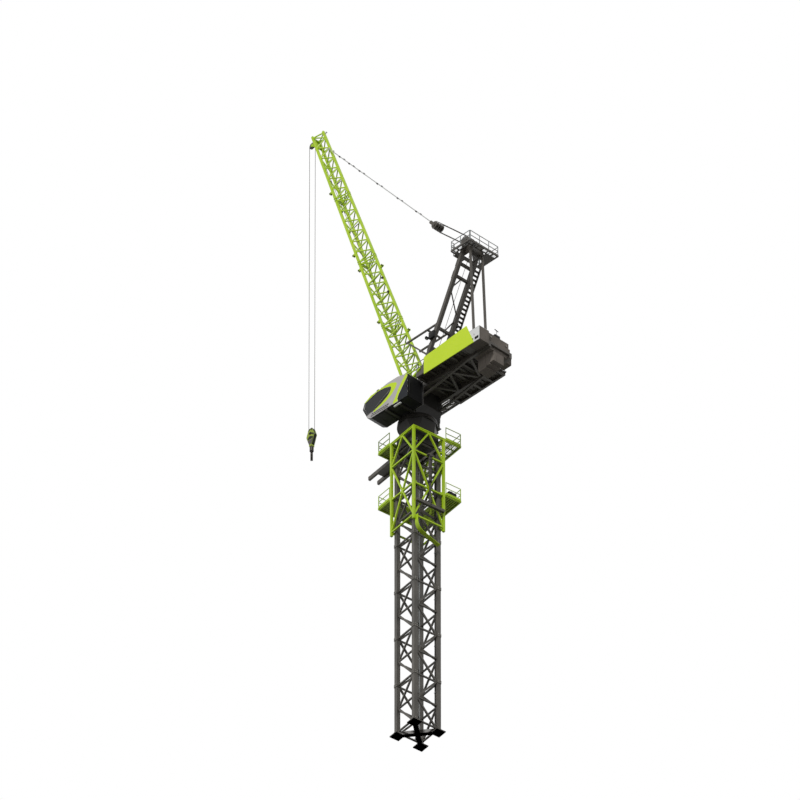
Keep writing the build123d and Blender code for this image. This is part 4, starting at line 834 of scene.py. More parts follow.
@dataclass
class MastFittings(Assembly):
    """Joint bolts, ladder and power cable of the mast.

    Attributes:
        base: Height where the lowest section starts.
        section: Length of a section.
        sections: How many there are.
        leg: Distance of a leg's middle from the mast's.
        collar: Distance of a joint collar's outer face.
        bolt_side: Distance of a joint bolt from the leg's middle, sideways.
        bolt_rise: Its distance from the joint, up or down.
        rung_pitch: Between the ladder's rungs.
    """

    base: float = 150.0
    section: float = 2225.0
    sections: int = 6
    leg: float = 545.0
    collar: float = 637.0
    bolt_side: float = 42.0
    bolt_rise: float = 40.0
    rung_pitch: float = 140.0

    def build(self) -> None:
        """Makes every fitting of the mast."""
        self.joint_bolts()
        self.ladder()
        self.power_cable()

    def joint_bolts(self) -> None:
        """Sets four bolt heads on each outer face of each joint collar."""
        places = []
        for joint in range(self.sections + 1):
            level = self.base + joint * self.section
            for quarter in range(4):
                turn = Matrix.Rotation(math.radians(90 * quarter), 4, "Z")
                for leg in (-self.leg, self.leg):
                    for side in (leg - self.bolt_side, leg + self.bolt_side):
                        heights = (level - self.bolt_rise, level + self.bolt_rise)
                        spots = [(self.collar, side, height) for height in heights if height > self.base]
                        places += [turn @ move for move in shifts(spots)]
        self.put("mast_joint_bolts", "worn_steel", copies(hex_head(17, 14), places))

    def ladder(self) -> None:
        """Hangs a ladder inside the mast beside the front right leg."""
        x, right, left = self.leg - 70, 95 - self.leg, 295 - self.leg
        margin, pitch = 60, self.rung_pitch
        low, high = self.base + margin, self.base + self.sections * self.section - margin
        rails = [bar((x, y, low), (x, y, high), 12, 40) for y in (right, left)]
        rung = rod((x, right, low + margin), (x, left, low + margin), 9, 8)
        rungs = row(rung, int((high - low - 2 * margin) / pitch) + 1, (0, 0, pitch))
        hold = bar((x, (right + left) / 2, low + 30), (x + 60, (right + left) / 2, low + 30), 220, 8)
        holds = row(hold, 2 * self.sections, (0, 0, self.section / 2))
        self.put("mast_ladder", "zinc", *rails, rungs, holds)

    def power_cable(self) -> None:
        """Clips the power cable to the inside of the rear leg."""
        x = 60 - self.leg
        y = 100 - self.leg
        low, high = self.base + 30, self.base + self.sections * self.section
        cable = rod((x, y, low), (x, y, high), 17, 12)
        self.put("power_cable", "black_plastic", cable)
        clip = block((x - 30, 62 - self.leg, low + 200), (x + 24, 130 - self.leg, low + 224), 4)
        clips = row(clip, 3 * self.sections, (0, 0, self.section / 3))
        self.put("power_cable_clips", "zinc", clips)


@dataclass
class CageFittings(Assembly):
    """Toe boards, joists, mesh and hydraulics of the climbing cage.

    Attributes:
        inner: Distance of the cage's face from the mast's middle.
        outer: Distance of the walkways' outer edges.
        floors: Tops of the two walkways.
        thick: Of a walkway's plate.
        board: Height of a toe board.
    """

    inner: float = 746.0
    outer: float = 1506.0
    floors: tuple[float, float] = (11402.0, 14040.0)
    thick: float = 40.0
    board: float = 70.0

    def build(self) -> None:
        """Makes every fitting of the cage."""
        self.toe_boards()
        self.joists()
        self.wire_mesh()
        self.hydraulics()

    def toe_boards(self) -> None:
        """Stands kick strips along the edges of both walkways."""
        near, far = self.outer - 22, self.outer - 28
        strips = (
            ((far, -near), (near, self.inner)),
            ((-self.inner, -near), (near, -far)),
            ((-self.inner, -near), (6 - self.inner, -self.inner - 20)),
            ((self.inner + 20, self.inner - 6), (near, self.inner)),
        )
        made = [
            block((*low, floor), (*high, floor + self.board), 1)
            for floor in self.floors
            for low, high in strips
        ]
        self.put("cage_toe_boards", "lime", *made)

    def joists(self) -> None:
        """Lays thin joists under both walkways, as the grated floors have."""
        x, y = self.inner + 60, 60 - self.outer
        made = []
        for floor in self.floors:
            level = floor - self.thick - 14
            across = bar((x, 10 - self.outer, level), (x, self.inner - 10, level), 28, 8, 1)
            along = bar((10 - self.inner, y, level), (self.inner, y, level), 8, 28, 1)
            made += [row(across, 8, (92, 0, 0)), row(along, 8, (0, 92, 0))]
        self.put("cage_floor_joists", "charcoal", *made)

    def wire_mesh(self) -> None:
        """Covers the open cells of the upper walkway with welded mesh of 50 mm pitch."""
        level, pitch = self.floors[1] - 8, 50
        start, edge = 20 - self.inner, 20 - self.outer
        long_wire = bar((-self.inner, edge, level), (self.outer, edge, level), 4, 4, 0)
        cross_wire = bar((start, -self.outer, level), (start, -self.inner, level), 4, 4, 0)
        long_wires, cross_wires = row(long_wire, 15, (0, pitch, 0)), row(cross_wire, 45, (pitch, 0, 0))
        self.put("cage_floor_mesh", "zinc", long_wires, cross_wires)

    def hydraulics(self) -> None:
        """Adds the gland, hoses, pump and pins of the climbing cylinder."""
        x = -791.0
        sleeve = rod((x, 0, 10512), (x, 0, 11540), 38, 24, 0)
        self.put("cylinder_rod_sleeve", "greased_steel", sleeve)
        gland = rod((x, 0, 11540), (x, 0, 11600), 72, 24, 6)
        cap = rod((x, 0, 12720), (x, 0, 12790), 72, 24, 6)
        pin = rod((x - 75, 0, 10450), (x + 75, 0, 10450), 26, 16, 4)
        hoses = [rod((x - 52, y, 11590), (x - 52, y, 12700), 10, 8) for y in (-46, 46)]
        band = block((x - 66, -64, 11800), (x - 30, 64, 11820), 4)
        self.put("cylinder_fittings", "black_plastic", gland, cap, pin, *hoses, row(band, 3, (0, 0, 400)))
        pump = block((-690, -1330, 11402), (-330, -960, 11660), 14, 2)
        lid = block((-670, -1310, 11660), (-350, -980, 11690), 6)
        motor = rod((-620, -1145, 11690), (-400, -1145, 11690), 70, 20, 8)
        self.put("climbing_pump", "black_plastic", pump, lid, motor)


@dataclass
class BearingFittings(Assembly):
    """Toothed ring and bolts of the slewing bearing, on the mast's side.

    Attributes:
        top: Of the fixed bearing ring.
        radius: Of the ring.
    """

    top: float = 14780.0
    radius: float = 750.0

    def build(self) -> None:
        """Makes the teeth and the bolts under the support's flange."""
        tooth = block((self.radius - 10, -11, self.top - 82), (self.radius + 24, 11, self.top - 30), 3)
        self.put("bearing_teeth", "greased_steel", ring_of(tooth, 84))
        nut = rod((700, 0, self.top - 180), (700, 0, self.top - 158), 20, 6)
        stud = rod((700, 0, self.top - 195), (700, 0, self.top - 170), 11, 8)
        self.put("bearing_bolts", "worn_steel", ring_of(merge([nut, stud]), 40, 4.5))


@dataclass
class SlewingDrives(Assembly):
    """Two upright slewing motors with their pinions, on the right side of the turntable.

    Attributes:
        side: Right face of the turntable.
        reach: Distance of a motor's axis beyond the mast's middle.
        bearing_top: Level from which the turntable turns.
    """

    body: str = "upperworks"
    side: float = -600.0
    reach: float = -800.0
    bearing_top: float = 14780.0

    def build(self) -> None:
        """Makes one drive and its twin."""
        y, low = self.reach, self.bearing_top
        bracket = block((-115, y - 110, low + 110), (115, self.side + 10, low + 150), 10)
        gearbox = rod((0, y, low + 150), (0, y, low + 420), 98, 24, 12)
        flange = rod((0, y, low + 420), (0, y, low + 445), 112, 24, 4)
        self.pair("slewing_gearboxes", "charcoal", bracket, gearbox, flange)
        motor = rod((0, y, low + 445), (0, y, low + 700), 78, 24, 6)
        fins = row(rod((0, y, low + 470), (0, y, low + 478), 90, 20, 0), 9, (0, 0, 24))
        box = block((-40, y - 130, low + 520), (40, y - 70, low + 640), 6)
        self.pair("slewing_motors", "cabinet_grey", motor, fins, box)
        pinion = rod((0, y, low - 80), (0, y, low - 28), 34, 16, 3)
        shaft = rod((0, y, low - 28), (0, y, low + 120), 26, 16, 3)
        tooth = block((28, y - 7, low - 78), (46, y + 7, low - 30), 2)
        teeth = ring_of(tooth, 12, centre=(0, y, 0))
        self.pair("slewing_pinions", "greased_steel", pinion, shaft, teeth)

    def pair(self, name: str, finish: str, *pieces: Piece) -> None:
        """Sets one copy at the front and one at the rear."""
        places = shifts([(250, 0, 0), (-250, 0, 0)])
        self.put(name, finish, copies(merge(pieces), places))


@dataclass
class CabFittings(Assembly):
    """Painted bands, door, window trim, driver's seat and lamps of the cab.

    Attributes:
        face: Outer face of the cab.
        film: Thickness of paint and trim on that face.
        floor: Level of the cab's floor.
    """

    body: str = "upperworks"
    face: float = 1500.0
    film: float = 0.4
    floor: float = 14860.0

    def build(self) -> None:
        """Makes every fitting of the cab."""
        self.window_trim()
        self.door()
        self.sill()
        self.painted_shade_faces()
        self.roof()
        self.seat()
        self.wiper()

    def skin(self, outline: Outline) -> Piece:
        """Lays a thin film of paint or trim on the outer face."""
        return plate(outline, "Y", self.face - 0.2, self.face + self.film)

    def window_trim(self) -> None:
        """Frames the side window in black rubber and in a lime band, as a drop lying on its side."""
        opening = (
            (1290, 15752), (1069, 15824), (627, 15938), (234, 15894), (-60, 15795), (-90, 15740),
            (-88, 15678), (40, 15610), (130, 15575), (300, 15500), (500, 15388), (709, 15274),
            (889, 15174), (1160, 15154), (1338, 15500),
        )
        seal = (
            (1300, 15765), (1075, 15842), (630, 15957), (230, 15913), (-80, 15810), (-110, 15740),
            (-100, 15640), (10, 15500), (130, 15415), (290, 15340), (440, 15268), (600, 15225),
            (850, 15150), (1175, 15115), (1360, 15500),
        )
        self.put("window_seal", "black_plastic", self.skin([*seal, *reversed(opening)]))
        lime = (
            (1328, 15796), (995, 15966), (600, 16000), (185, 16000), (-130, 15955), (-390, 15830),
            (-425, 15730), (-345, 15585), (-205, 15455), (-75, 15345), (160, 15240), (420, 15165),
            (705, 15105), (835, 15075),
        )
        inner = (
            (1304, 15768), (1075, 15846), (630, 15961), (230, 15917), (-84, 15814), (-114, 15740),
            (-104, 15638), (6, 15497), (128, 15411), (288, 15336), (438, 15264), (598, 15221),
            (720, 15182), (848, 15146),
        )
        self.put("window_band", "panel_lime", self.skin([*lime, *reversed(inner)]))
        nose = ((1325, 15800), (1424, 15510), (1215, 15072), (1176, 15112), (1362, 15500), (1302, 15766))
        self.put("nose_trim", "black_plastic", self.skin(nose))

    def door(self) -> None:
        """Paints the door at the rear blue-black with its lime strip, and adds a handle and hinges."""
        panel = (
            (-999.5, 15790), (-999.5, 14861), (-495, 14861), (-455, 15005), (-520, 15155), (-690, 15380),
            (-870, 15615),
        )
        self.put("cab_door_panel", "door_blue", self.skin(panel))
        strip = (
            (-999.5, 15910), (-999.5, 15800), (-860, 15620), (-675, 15388), (-505, 15160), (-445, 15012),
            (-470, 14885), (-200, 14885), (-235, 14995), (-310, 15090), (-390, 15230), (-520, 15480),
            (-715, 15715), (-880, 15912),
        )
        self.put("cab_door_strip", "panel_lime", self.skin(strip))
        handle = block((-960, 1488, 15240), (-930, 1500.4, 15400), 3)
        hinges = row(rod((-996, 1490, 15020), (-996, 1490, 15090), 9, 10), 3, (0, 0, 260))
        self.put("cab_door_handle", "worn_steel", handle, hinges)

    def sill(self) -> None:
        """Adds the vents in the sill under the window and the black strip along its foot."""
        vent = self.skin(((0, 14922), (96, 14926), (96, 14982), (0, 14978)))
        vents = row(vent, 8, (118, 0, 3))
        self.put("cab_vents", "black_plastic", copies(vents, shifts([(70, 0, -8), (20, 0, 74)])))
        foot = self.skin(((-190, 14861), (952, 14861), (1004, 14888), (-180, 14888)))
        self.put("cab_foot_strip", "black_plastic", foot)
        step = block((-615, 1430, 14728), (-250, 1498, 14766), 6, 2)
        self.put("cab_step", "trim_white", step)
        hangers = [block((x, 1440, 14740), (x + 24, 1490, self.floor + 4), 2) for x in (-580, -310)]
        self.put("cab_step_hangers", "black_plastic", *hangers)

    def painted_shade_faces(self) -> None:
        """Covers the rear, the underside and the chin of the cab in black sheets as painted shade, and
        adds dark frame strips, a grab rail and floor pans.
        """
        inner, rear, top = self.face - 815, -1000.0, 15912.0
        edge, low_edge = self.face - 0.5, self.floor + 0.5
        side = ((inner, low_edge), (edge, low_edge), (edge, top), (inner, top))
        # these black sheets are painted shade on the rear face, the floor's underside and the sloped chin
        # and brow
        back = plate(side, "X", rear - self.film, rear + 0.2)
        under = ((rear + 0.5, inner), (946, inner), (946, edge), (rear + 0.5, edge))
        low = plate(under, "Z", self.floor - self.film, self.floor + 0.2)
        chin = plate(((948, 14859), (1174, 14987), (1177, 14983), (951, 14855)), "Y", inner + 2, edge)
        brow = plate(((1175, 14988), (1203, 15042), (1207, 15040), (1179, 14986)), "Y", inner + 2, edge)
        low_end, high_end = self.floor + 90, top - 120
        frame = [block((rear - 14, y, low_end), (rear - 1, y + 14, high_end), 2) for y in (760, 1400)]
        grab = rod((rear - 40, 1440, 15080), (rear - 40, 1440, 15640), 11, 12)
        feet = [rod((rear - 40, 1440, z), (rear, 1440, z), 9, 10) for z in (15100, 15620)]
        pan = block((-960, 740, self.floor - 16), (-560, 1440, self.floor), 3)
        pans = row(sunk_panel(pan, (0, 0, -1), 24, 6), 3, (640, 0, 0))
        self.put("cab_painted_shade_and_fittings", "black_plastic", back, low, chin, brow, *frame, grab, *feet, pans)

    def roof(self) -> None:
        """Stands a lamp, a cooling unit and ribs on the roof."""
        unit = block((-700, 820, 15990), (-260, 1260, 16130), 26, 3)
        grille = row(block((-705, 860, 16020), (-255, 868, 16112), 1), 9, (0, 43, 0))
        self.put("cab_cooling_unit", "cab_silver", sunk_panel(unit, (0, 0, 1), 30, 8))
        self.put("cab_cooling_grille", "black_plastic", grille)
        stand = rod((660, 1420, 15970), (660, 1420, 16050), 12, 12)
        lamp = rod((630, 1420, 16080), (725, 1420, 16066), 42, 20, 6)
        self.put("cab_lamp", "black_plastic", stand, lamp)
        self.put("cab_lamp_lens", "lamp_glass", rod((724, 1420, 16066), (732, 1420, 16065), 38, 20, 2))
        ribs = row(bar((-150, 700, 16068), (-150, 1475, 16068), 18, 12), 4, (200, 0, 0))
        self.put("cab_roof_ribs", "cab_silver", ribs)

    def seat(self) -> None:
        """Gives the driver a seat with two consoles, their sticks and a screen."""
        floor = (0, 0, self.floor)
        base = rod(*offset(floor, (380, 1090, 22), (380, 1090, 190)), 60, 20, 8)
        pad = block(*offset(floor, (210, 950, 190), (560, 1230, 270)), 34, 4)
        back = block(*offset(floor, (150, 960, 230), (235, 1220, 640)), 34, 4)
        rest = block(*offset(floor, (150, 1020, 655), (220, 1160, 760)), 30, 4)
        consoles = [block(*offset(floor, (300, y, 250), (640, y + 90, 340)), 16, 3) for y in (840, 1250)]
        sticks = [rod(*offset(floor, (590, y, 330), (600, y, 420)), 13, 12) for y in (885, 1295)]
        screen = block(*offset(floor, (900, 800, 420), (925, 980, 560)), 6, 2)
        post = rod(*offset(floor, (905, 890, 22), (912, 890, 440)), 14, 12)
        self.put("driver_seat", "black_plastic", base, pad, back, rest, *consoles, *sticks, screen, post)

    def wiper(self) -> None:
        """Lays a wiper against the windscreen."""
        arm = rod((1190, 1080, 15020), (1352, 1150, 15330), 7, 8)
        blade = bar((1300, 1140, 15200), (1432, 1160, 15480), 8, 16, 1)
        hub = rod((1180, 1080, 15006), (1204, 1080, 15030), 20, 12)
        self.put("cab_wiper", "black_plastic", arm, blade, hub)


@dataclass
class CounterJibFittings(Assembly):
    """Floor, winch gear, cabinet doors and weight fittings on the counter jib.

    Attributes:
        deck: Top of the deck's plate.
        front: Front edge of the full deck.
        panel_front: Front edge of the big side panel, up to which the deck's left edge is open.
        rear: Rear edge of the deck.
        left: Edge of the deck on the cab's side.
        right: The other edge.
    """

    body: str = "upperworks"
    deck: float = 16020.0
    front: float = -1060.0
    panel_front: float = -1500.0
    rear: float = -3545.0
    left: float = 1100.0
    right: float = -1240.0

    def build(self) -> None:
        """Makes every fitting of the counter jib."""
        self.floor()
        self.far_walkway()
        self.banner_frame()
        self.cabinet()
        self.winch("hoist", -2900.0, 16290.0, 210.0)
        self.winch("luffing", -1750.0, 16248.0, 168.0)
        self.weights()
        self.beacon()

    def floor(self) -> None:
        """Lays grating bars on the deck, joists under it and kick strips along its edges."""
        front, deck = self.front, self.deck
        strip = block((front - 12, self.right + 4, deck), (front - 6, self.left - 4, deck + 6), 0)
        self.put("deck_grating", "zinc", row(strip, 50, (-50, 0, 0)))
        joist = block((front - 90, self.right + 6, deck - 62), (front - 78, self.left - 6, deck - 20), 1)
        self.put("deck_joists", "charcoal", row(joist, 14, (-180, 0, 0)))
        boards = [
            block((self.rear, self.right, deck), (front, self.right + 5, deck + 70), 1),
            block((self.panel_front, self.left - 5, deck), (front, self.left, deck + 70), 1),
        ]
        self.put("deck_toe_boards", "charcoal", *boards)

    def far_walkway(self) -> None:
        """Carries the walkway on along the far side of the turntable, on brackets, with its rail."""
        rear, front, edge, deck = self.front, 276.0, self.right, self.deck
        slats = row(block((rear, edge + 60, deck - 20), (front, edge + 70, deck), 0), 8, (0, 38, 0))
        beams = [
            block((rear, edge, deck - 90), (front, edge + 40, deck), 5),
            block((rear, edge + 360, deck - 60), (front, edge + 390, deck), 4),
        ]
        # the brackets end just inside the turntable's side face
        wall = -596.0
        brackets = []
        for x in (-960.0, -420.0, 200.0):
            brackets.append(bar((x, edge + 20, deck - 60), (x, wall, deck - 60), 50, 60, 4))
            brackets.append(bar((x, edge + 120, deck - 80), (x, wall, deck - 520), 44, 44, 4))
        board = block((rear, edge, deck), (front, edge + 5, deck + 70), 1)
        self.put("far_walkway", "charcoal", slats, *beams, *brackets, board)
        x, y, top = front - 16, edge + 11, deck + 550
        posts = row(bar((x, y, deck), (x, y, top), 22, 22), 3, (-640, 0, 0))
        levels = (deck + 275, deck + 540)
        rails = [bar((rear, y, z), (front, y, z), 22, 22) for z in levels]
        ends = [bar((x, y, z), (x, edge + 390, z), 22, 22) for z in levels]
        last = bar((x, edge + 390, deck - 10), (x, edge + 390, top), 22, 22)
        self.put("far_walkway_rail", "zinc", posts, *rails, *ends, last)

    def banner_frame(self) -> None:
        """Holds the big side panel with posts and rails on its inner side."""
        post = bar((-1600, 1080, 15830), (-1600, 1080, 16590), 40, 40)
        posts = row(post, 5, (-560, 0, 0))
        rails = [bar((-1520, 1084, z), (-3860, 1084, z), 30, 30) for z in (15870, 16240, 16560)]
        self.put("banner_frame", "charcoal", posts, *rails)

    def cabinet(self) -> None:
        """Gives the dark switch cabinet white doors and edges, handles, vents and a shelf beside it."""
        doors = row(block((-4486, 1094, 15838), (-4198, 1104, 16440), 2), 2, (290, 0, 0))
        self.put("cabinet_doors", "trim_white", sunk_panel(doors, (0, 1, 0), 22, 3))
        slats = row(block((-4445, 1101, 15900), (-4245, 1108, 15908), 0), 8, (0, 0, 16))
        handles = row(block((-4222, 1103, 16120), (-4208, 1118, 16200), 3), 2, (290, 0, 0))
        vents = copies(slats, shifts([(0, 0, 0), (290, 0, 0)]))
        self.put("cabinet_vents", "black_plastic", vents, handles)
        edges = [
            block((-4500, 1082, 15826), (-4478, 1106, 16452), 3),
            block((-3912, 1082, 15826), (-3890, 1106, 16452), 3),
            block((-4500, 592, 16440), (-3890, 1106, 16458), 4),
            block((-4500, 1082, 15818), (-3890, 1106, 15836), 3),
        ]
        self.put("cabinet_edges", "trim_white", *edges)
        shelf = block((-3890, 600, 15832), (-3552, 1090, 15996), 6)
        self.put("cabinet_shelf", "charcoal", shelf)

    def winch(self, name: str, x: float, z: float, radius: float) -> None:
        """Winds rope on a drum and adds fins, a gearbox and a brake.

        Args:
            name: Of the winch.
            x: Its axle's place along the counter jib.
            z: Its axle's height.
            radius: Of its flanges.
        """
        core = 0.7 * radius
        turn = hoop((x, -332, z), core + 9, 9, (90, 0, 0), 28)
        self.put(f"{name}_rope_turns", "wire_rope", row(turn, 37, (0, 18.4, 0)))
        rim = rod((x, 346, z), (x, 356, z), radius + 10, 28, 2)
        self.put(f"{name}_brake_rim", "worn_steel", rim)
        fin = rod((x, -470, z), (x, -477, z), 0.6 * radius + 12, 24, 0)
        self.put(f"{name}_motor_fins", "charcoal", row(fin, 8, (0, -24, 0)))
        cover = rod((x, 430, z), (x, 500, z), 0.72 * radius, 28, 10)
        nose = rod((x, 500, z), (x, 540, z), 0.4 * radius, 24, 8)
        turns = [math.radians(30 * i) for i in range(12)]
        spots = [(x + 0.6 * radius * math.cos(a), z + 0.6 * radius * math.sin(a)) for a in turns]
        bolts = [rod((along, 498, level), (along, 510, level), 9, 6) for along, level in spots]
        self.put(f"{name}_gearbox", "cabinet_grey", cover, nose, *bolts)

    def weights(self) -> None:
        """Adds lifting eyes, tie rods and nuts to the counterweights."""
        pitch, first = 211.0, -4301.0
        eyes = row(hoop((first, 230, 16492), 42, 10, (0, 90, 0)), 4, (pitch, 0, 0))
        pair = copies(eyes, shifts([(0, 0, 0), (0, -460, 0)]))
        self.put("weight_eyes", "worn_steel", pair)
        parts = ((-4440, -3540, 16, 12), (-4432, -4404, 34, 6), (-3560, -3585, 34, 6))
        ties = [
            rod((start, y, 16300), (end, y, 16300), size, sides)
            for y in (420, -380)
            for start, end, size, sides in parts
        ]
        self.put("weight_ties", "worn_steel", *ties)

    def beacon(self) -> None:
        """Stands a wind gauge box on the rear weight."""
        box = block((-4390, -100, 16480), (-4240, 170, 16620), 12, 2)
        post = rod((-4315, 20, 16620), (-4315, 20, 16880), 8, 8)
        cups = rod((-4315, 120, 16905), (-4315, -70, 16870), 17, 12, 3)
        self.put("wind_gauge", "black_plastic", box, post, cups)


@dataclass
class AFrameFittings(Assembly):
    """Boxes, lamps, gratings, front step and ropes of the A-frame.

    Attributes:
        deck: Level from which the legs rise.
        head: Top of the head platform.
        leg_y: Distance of a leg from the middle.
    """

    body: str = "upperworks"
    deck: float = 16000.0
    head: float = 21480.0
    leg_y: float = 350.0

    def on_leg(self, share: float, y: float) -> Vector:
        """Gives the point at a share of a leg's height.

        Args:
            share: From 0 at the foot to 1 at the head.
            y: Where it lies across the crane.

        Returns:
            The point.
        """
        return Vector((-250 - 2800 * share, y, self.deck + 5850 * share))

    def build(self) -> None:
        """Makes every fitting of the A-frame."""
        self.gussets()
        self.leg_boxes()
        self.head_floor()
        self.front_step()
        self.ropes()

    def gussets(self) -> None:
        """Bolts a plate over each joint of the legs and the cross beams."""
        made = []
        for share in (0.3, 0.43, 0.77, 0.85):
            for hand in (-1, 1):
                y = hand * (self.leg_y + 70)
                low, high = self.on_leg(share - 0.025, y), self.on_leg(share + 0.025, y)
                made.append(bar(low, high, 14, 176, 3))
        self.put("leg_gussets", "charcoal", *made)

    def leg_boxes(self) -> None:
        """Hangs a junction box with a floodlight, a smaller box and a cable on the legs."""
        near = self.on_leg(0.37, self.leg_y + 70)
        box = block(*offset(near, (-130, 4, -140), (150, 104, 170)), 10, 2)
        arm = bar(*offset(near, (120, 40, 20), (330, 40, 60)), 24, 24)
        lamp = block(*offset(near, (260, -20, -20), (350, 110, 90)), 14, 2)
        self.put("leg_junction_box", "black_plastic", box, arm, lamp)
        lens = block(*offset(near, (270, -10, -27), (340, 100, -18)), 3)
        self.put("floodlight_lens", "lamp_glass", lens)
        far = self.on_leg(0.5, -self.leg_y - 70)
        spare = block(*offset(far, (-60, -90, -100), (60, -2, 100)), 8, 2)
        cable = rod(self.on_leg(0.03, -self.leg_y - 78), self.on_leg(0.97, -self.leg_y - 78), 11, 10)
        self.put("leg_cable", "black_plastic", spare, cable)

    def head_floor(self) -> None:
        """Lays welded mesh in the open parts of the head platform and stands toe boards round it."""
        level = self.head - 6
        wires = (
            ((-3490, 430), (-2460, 430), 4, (0, 50, 0)),
            ((-3480, 425), (-3480, 615), 21, (50, 0, 0)),
            ((-3490, -890), (-3280, -890), 27, (0, 50, 0)),
            ((-3480, -890), (-3480, 425), 4, (50, 0, 0)),
        )
        meshes = [
            row(bar((*start, level), (*end, level), 5, 5, 0), count, step)
            for start, end, count, step in wires
        ]
        self.put("head_floor_mesh", "zinc", *meshes)
        edges = (
            ((-3500, 614), (-2450, 619)), ((-3500, -899), (-2900, -894)), ((-3499, -899), (-3494, 619)),
        )
        boards = [block((*low, self.head), (*high, self.head + 60), 1) for low, high in edges]
        self.put("head_toe_boards", "charcoal", *boards)

    def front_step(self) -> None:
        """Adds the narrow step with its rail in front of the head platform."""
        x, right, left, head = -2345.0, -90.0, 365.0, self.head
        floor = row(bar((-2450, right, head - 20), (-2450, left, head - 20), 14, 24, 1), 5, (26, 0, 0))
        ends = [bar((-2452, y, head - 20), (x, y, head - 20), 14, 30, 1) for y in (right, left)]
        posts = [bar((x, y, head - 30), (x, y, head + 460), 20, 20, 2) for y in (right, 137, left)]
        rails = [bar((x, right, head + z), (x, left, head + z), 20, 20, 2) for z in (230, 450)]
        self.put("head_front_step", "charcoal", floor, *ends, *posts, *rails)

    def ropes(self) -> None:
        """Runs the luffing rope between the legs up to the head, over a sheave at their feet."""
        foot, top = self.on_leg(0.085, 0), self.on_leg(0.955, 0)
        rope = rod(foot, top, 9, 8)
        lead = rod((-1740, 0, 16392), foot + Vector((0, 0, -60)), 9, 8)
        self.put("luffing_lead", "wire_rope", rope, lead)
        sheave = rod(*offset(foot, (70, -16, -30), (70, 16, -30)), 84, 28, 5)
        axle = rod(*offset(foot, (70, -60, -30), (70, 60, -30)), 20, 12)
        cheeks = [block(*offset(foot, (30, y, -500), (110, y + 14, 40)), 4) for y in (-46, 32)]
        self.put("luffing_lead_sheave", "greased_steel", sheave, axle, *cheeks)


@dataclass
class JibFittings(Assembly):
    """Joint knuckles, rope rollers, pendant links and tip lamp of the jib.

    Attributes:
        width: Between the lower chords at the pivot.
        depth: Height of the upper chord at the pivot.
        vanish: Distance where the three chords would meet.
        section: Length of a section.
        pendant_y: Distance of a pendant line from the middle.
        link: Half the length of a pendant's link, as a share of the line.
    """

    body: str = "jib"
    frame: Matrix = field(default_factory=lambda: JIB_FRAME.copy())
    width: float = 664.0
    depth: float = 798.0
    vanish: float = 35400.0
    section: float = 4125.0
    pendant_y: float = 120.0
    link: float = 0.006

    def lower(self, s: float, hand: int) -> Vector:
        """Gives the point on a lower chord at a distance along the jib."""
        return Vector((s, hand * self.width / 2 * (1 - s / self.vanish), 0.0))

    def upper(self, s: float) -> Vector:
        """Gives the point on the upper chord at a distance along the jib."""
        return Vector((s, 0.0, self.depth * (1 - s / self.vanish)))

    def build(self) -> None:
        """Makes every fitting of the jib."""
        self.knuckles()
        self.rollers()
        self.pendant_links()
        self.hoist_lead()
        self.tip_lamp()

    def knuckles(self) -> None:
        """Thickens the chords where the sections are pinned, with two steel pins in each joint."""
        lugs, pins = [], []
        for joint in (1, 2, 3):
            s = joint * self.section
            for point in (self.lower(s, -1), self.lower(s, 1), self.upper(s)):
                for k in (-60, 60):
                    lugs.append(block(*offset(point, (k - 34, -54, -54), (k + 34, 54, 54)), 7))
                    pins.append(rod(*offset(point, (k, -66, 0), (k, 66, 0)), 18, 12, 3))
        self.put("section_lugs", "lime", *lugs)
        self.put("section_pins", "worn_steel", *pins)

    def rollers(self) -> None:
        """Sets the rope rollers on the chords: some on lugs that stand out, some inside."""
        outside = [(self.lower(s, 1), -170, -130) for s in (4562, 7900, 8863, 12907)]
        outside += [(self.upper(s), 30, 130) for s in (7432, 3200)]
        lugs, wheels = [], []
        for base, low, axle in outside:
            lugs += [block(*offset(base, (-50, y, low), (50, y + 10, low + 140)), 4) for y in (-42, 32)]
            wheels.append(rod(*offset(base, (0, -52, axle), (0, 52, axle)), 34, 16, 4))
        for s in (4370, 6874, 10275, 11623, 13600):
            wheels.append(rod(*offset(self.lower(s, 1), (0, -96, 6), (0, -42, 6)), 56, 20, 6))
        for s in (5862, 6778):
            wheels.append(rod(*offset(self.upper(s), (-10, 43, -40), (-10, 90, -40)), 52, 20, 6))
        for s in (10403, 13256):
            low, high = self.lower(s - 190, 1), self.upper(s + 80)
            wheels.append(bar(low.lerp(high, 0.5), low.lerp(high, 0.8), 26, 90, 4))
        self.put("roller_lugs", "lime", *lugs)
        self.put("rope_rollers", "greased_steel", *wheels)

    def pendant_links(self) -> None:
        """Puts a forged link at each joint of the two pendant lines."""
        start = JIB_FRAME @ (self.upper(15250) * MM)
        end = Vector((-1115, 0, 23800)) * MM
        back = JIB_FRAME.inverted()
        made = []
        for share in (0.103, 0.193, 0.29, 0.457, 0.647, 0.82):
            for hand in (-self.pendant_y, self.pendant_y):
                first = back @ start.lerp(end, share - self.link)
                last = back @ start.lerp(end, share + self.link)
                shift = Vector((0, hand, 0))
                made.append(bar(first / MM + shift, last / MM + shift, 40, 56, 8))
        self.put("pendant_links", "greased_steel", *made)

    def hoist_lead(self) -> None:
        """Runs the hoist rope inside the jib from its foot to the tip."""
        self.put("hoist_lead", "wire_rope", rod((760, 0, 240), (16150, 0, -70), 9, 8))

    def tip_lamp(self) -> None:
        """Stands a warning lamp on the tip."""
        base = self.upper(16300)
        stand = rod(*offset(base, (0, 0, 30), (0, 0, 90)), 16, 12)
        self.put("tip_lamp_stand", "zinc", stand)
        lamp = rod(*offset(base, (0, 0, 90), (0, 0, 150)), 30, 16, 10)
        self.put("tip_lamp", "lamp_glass", lamp)


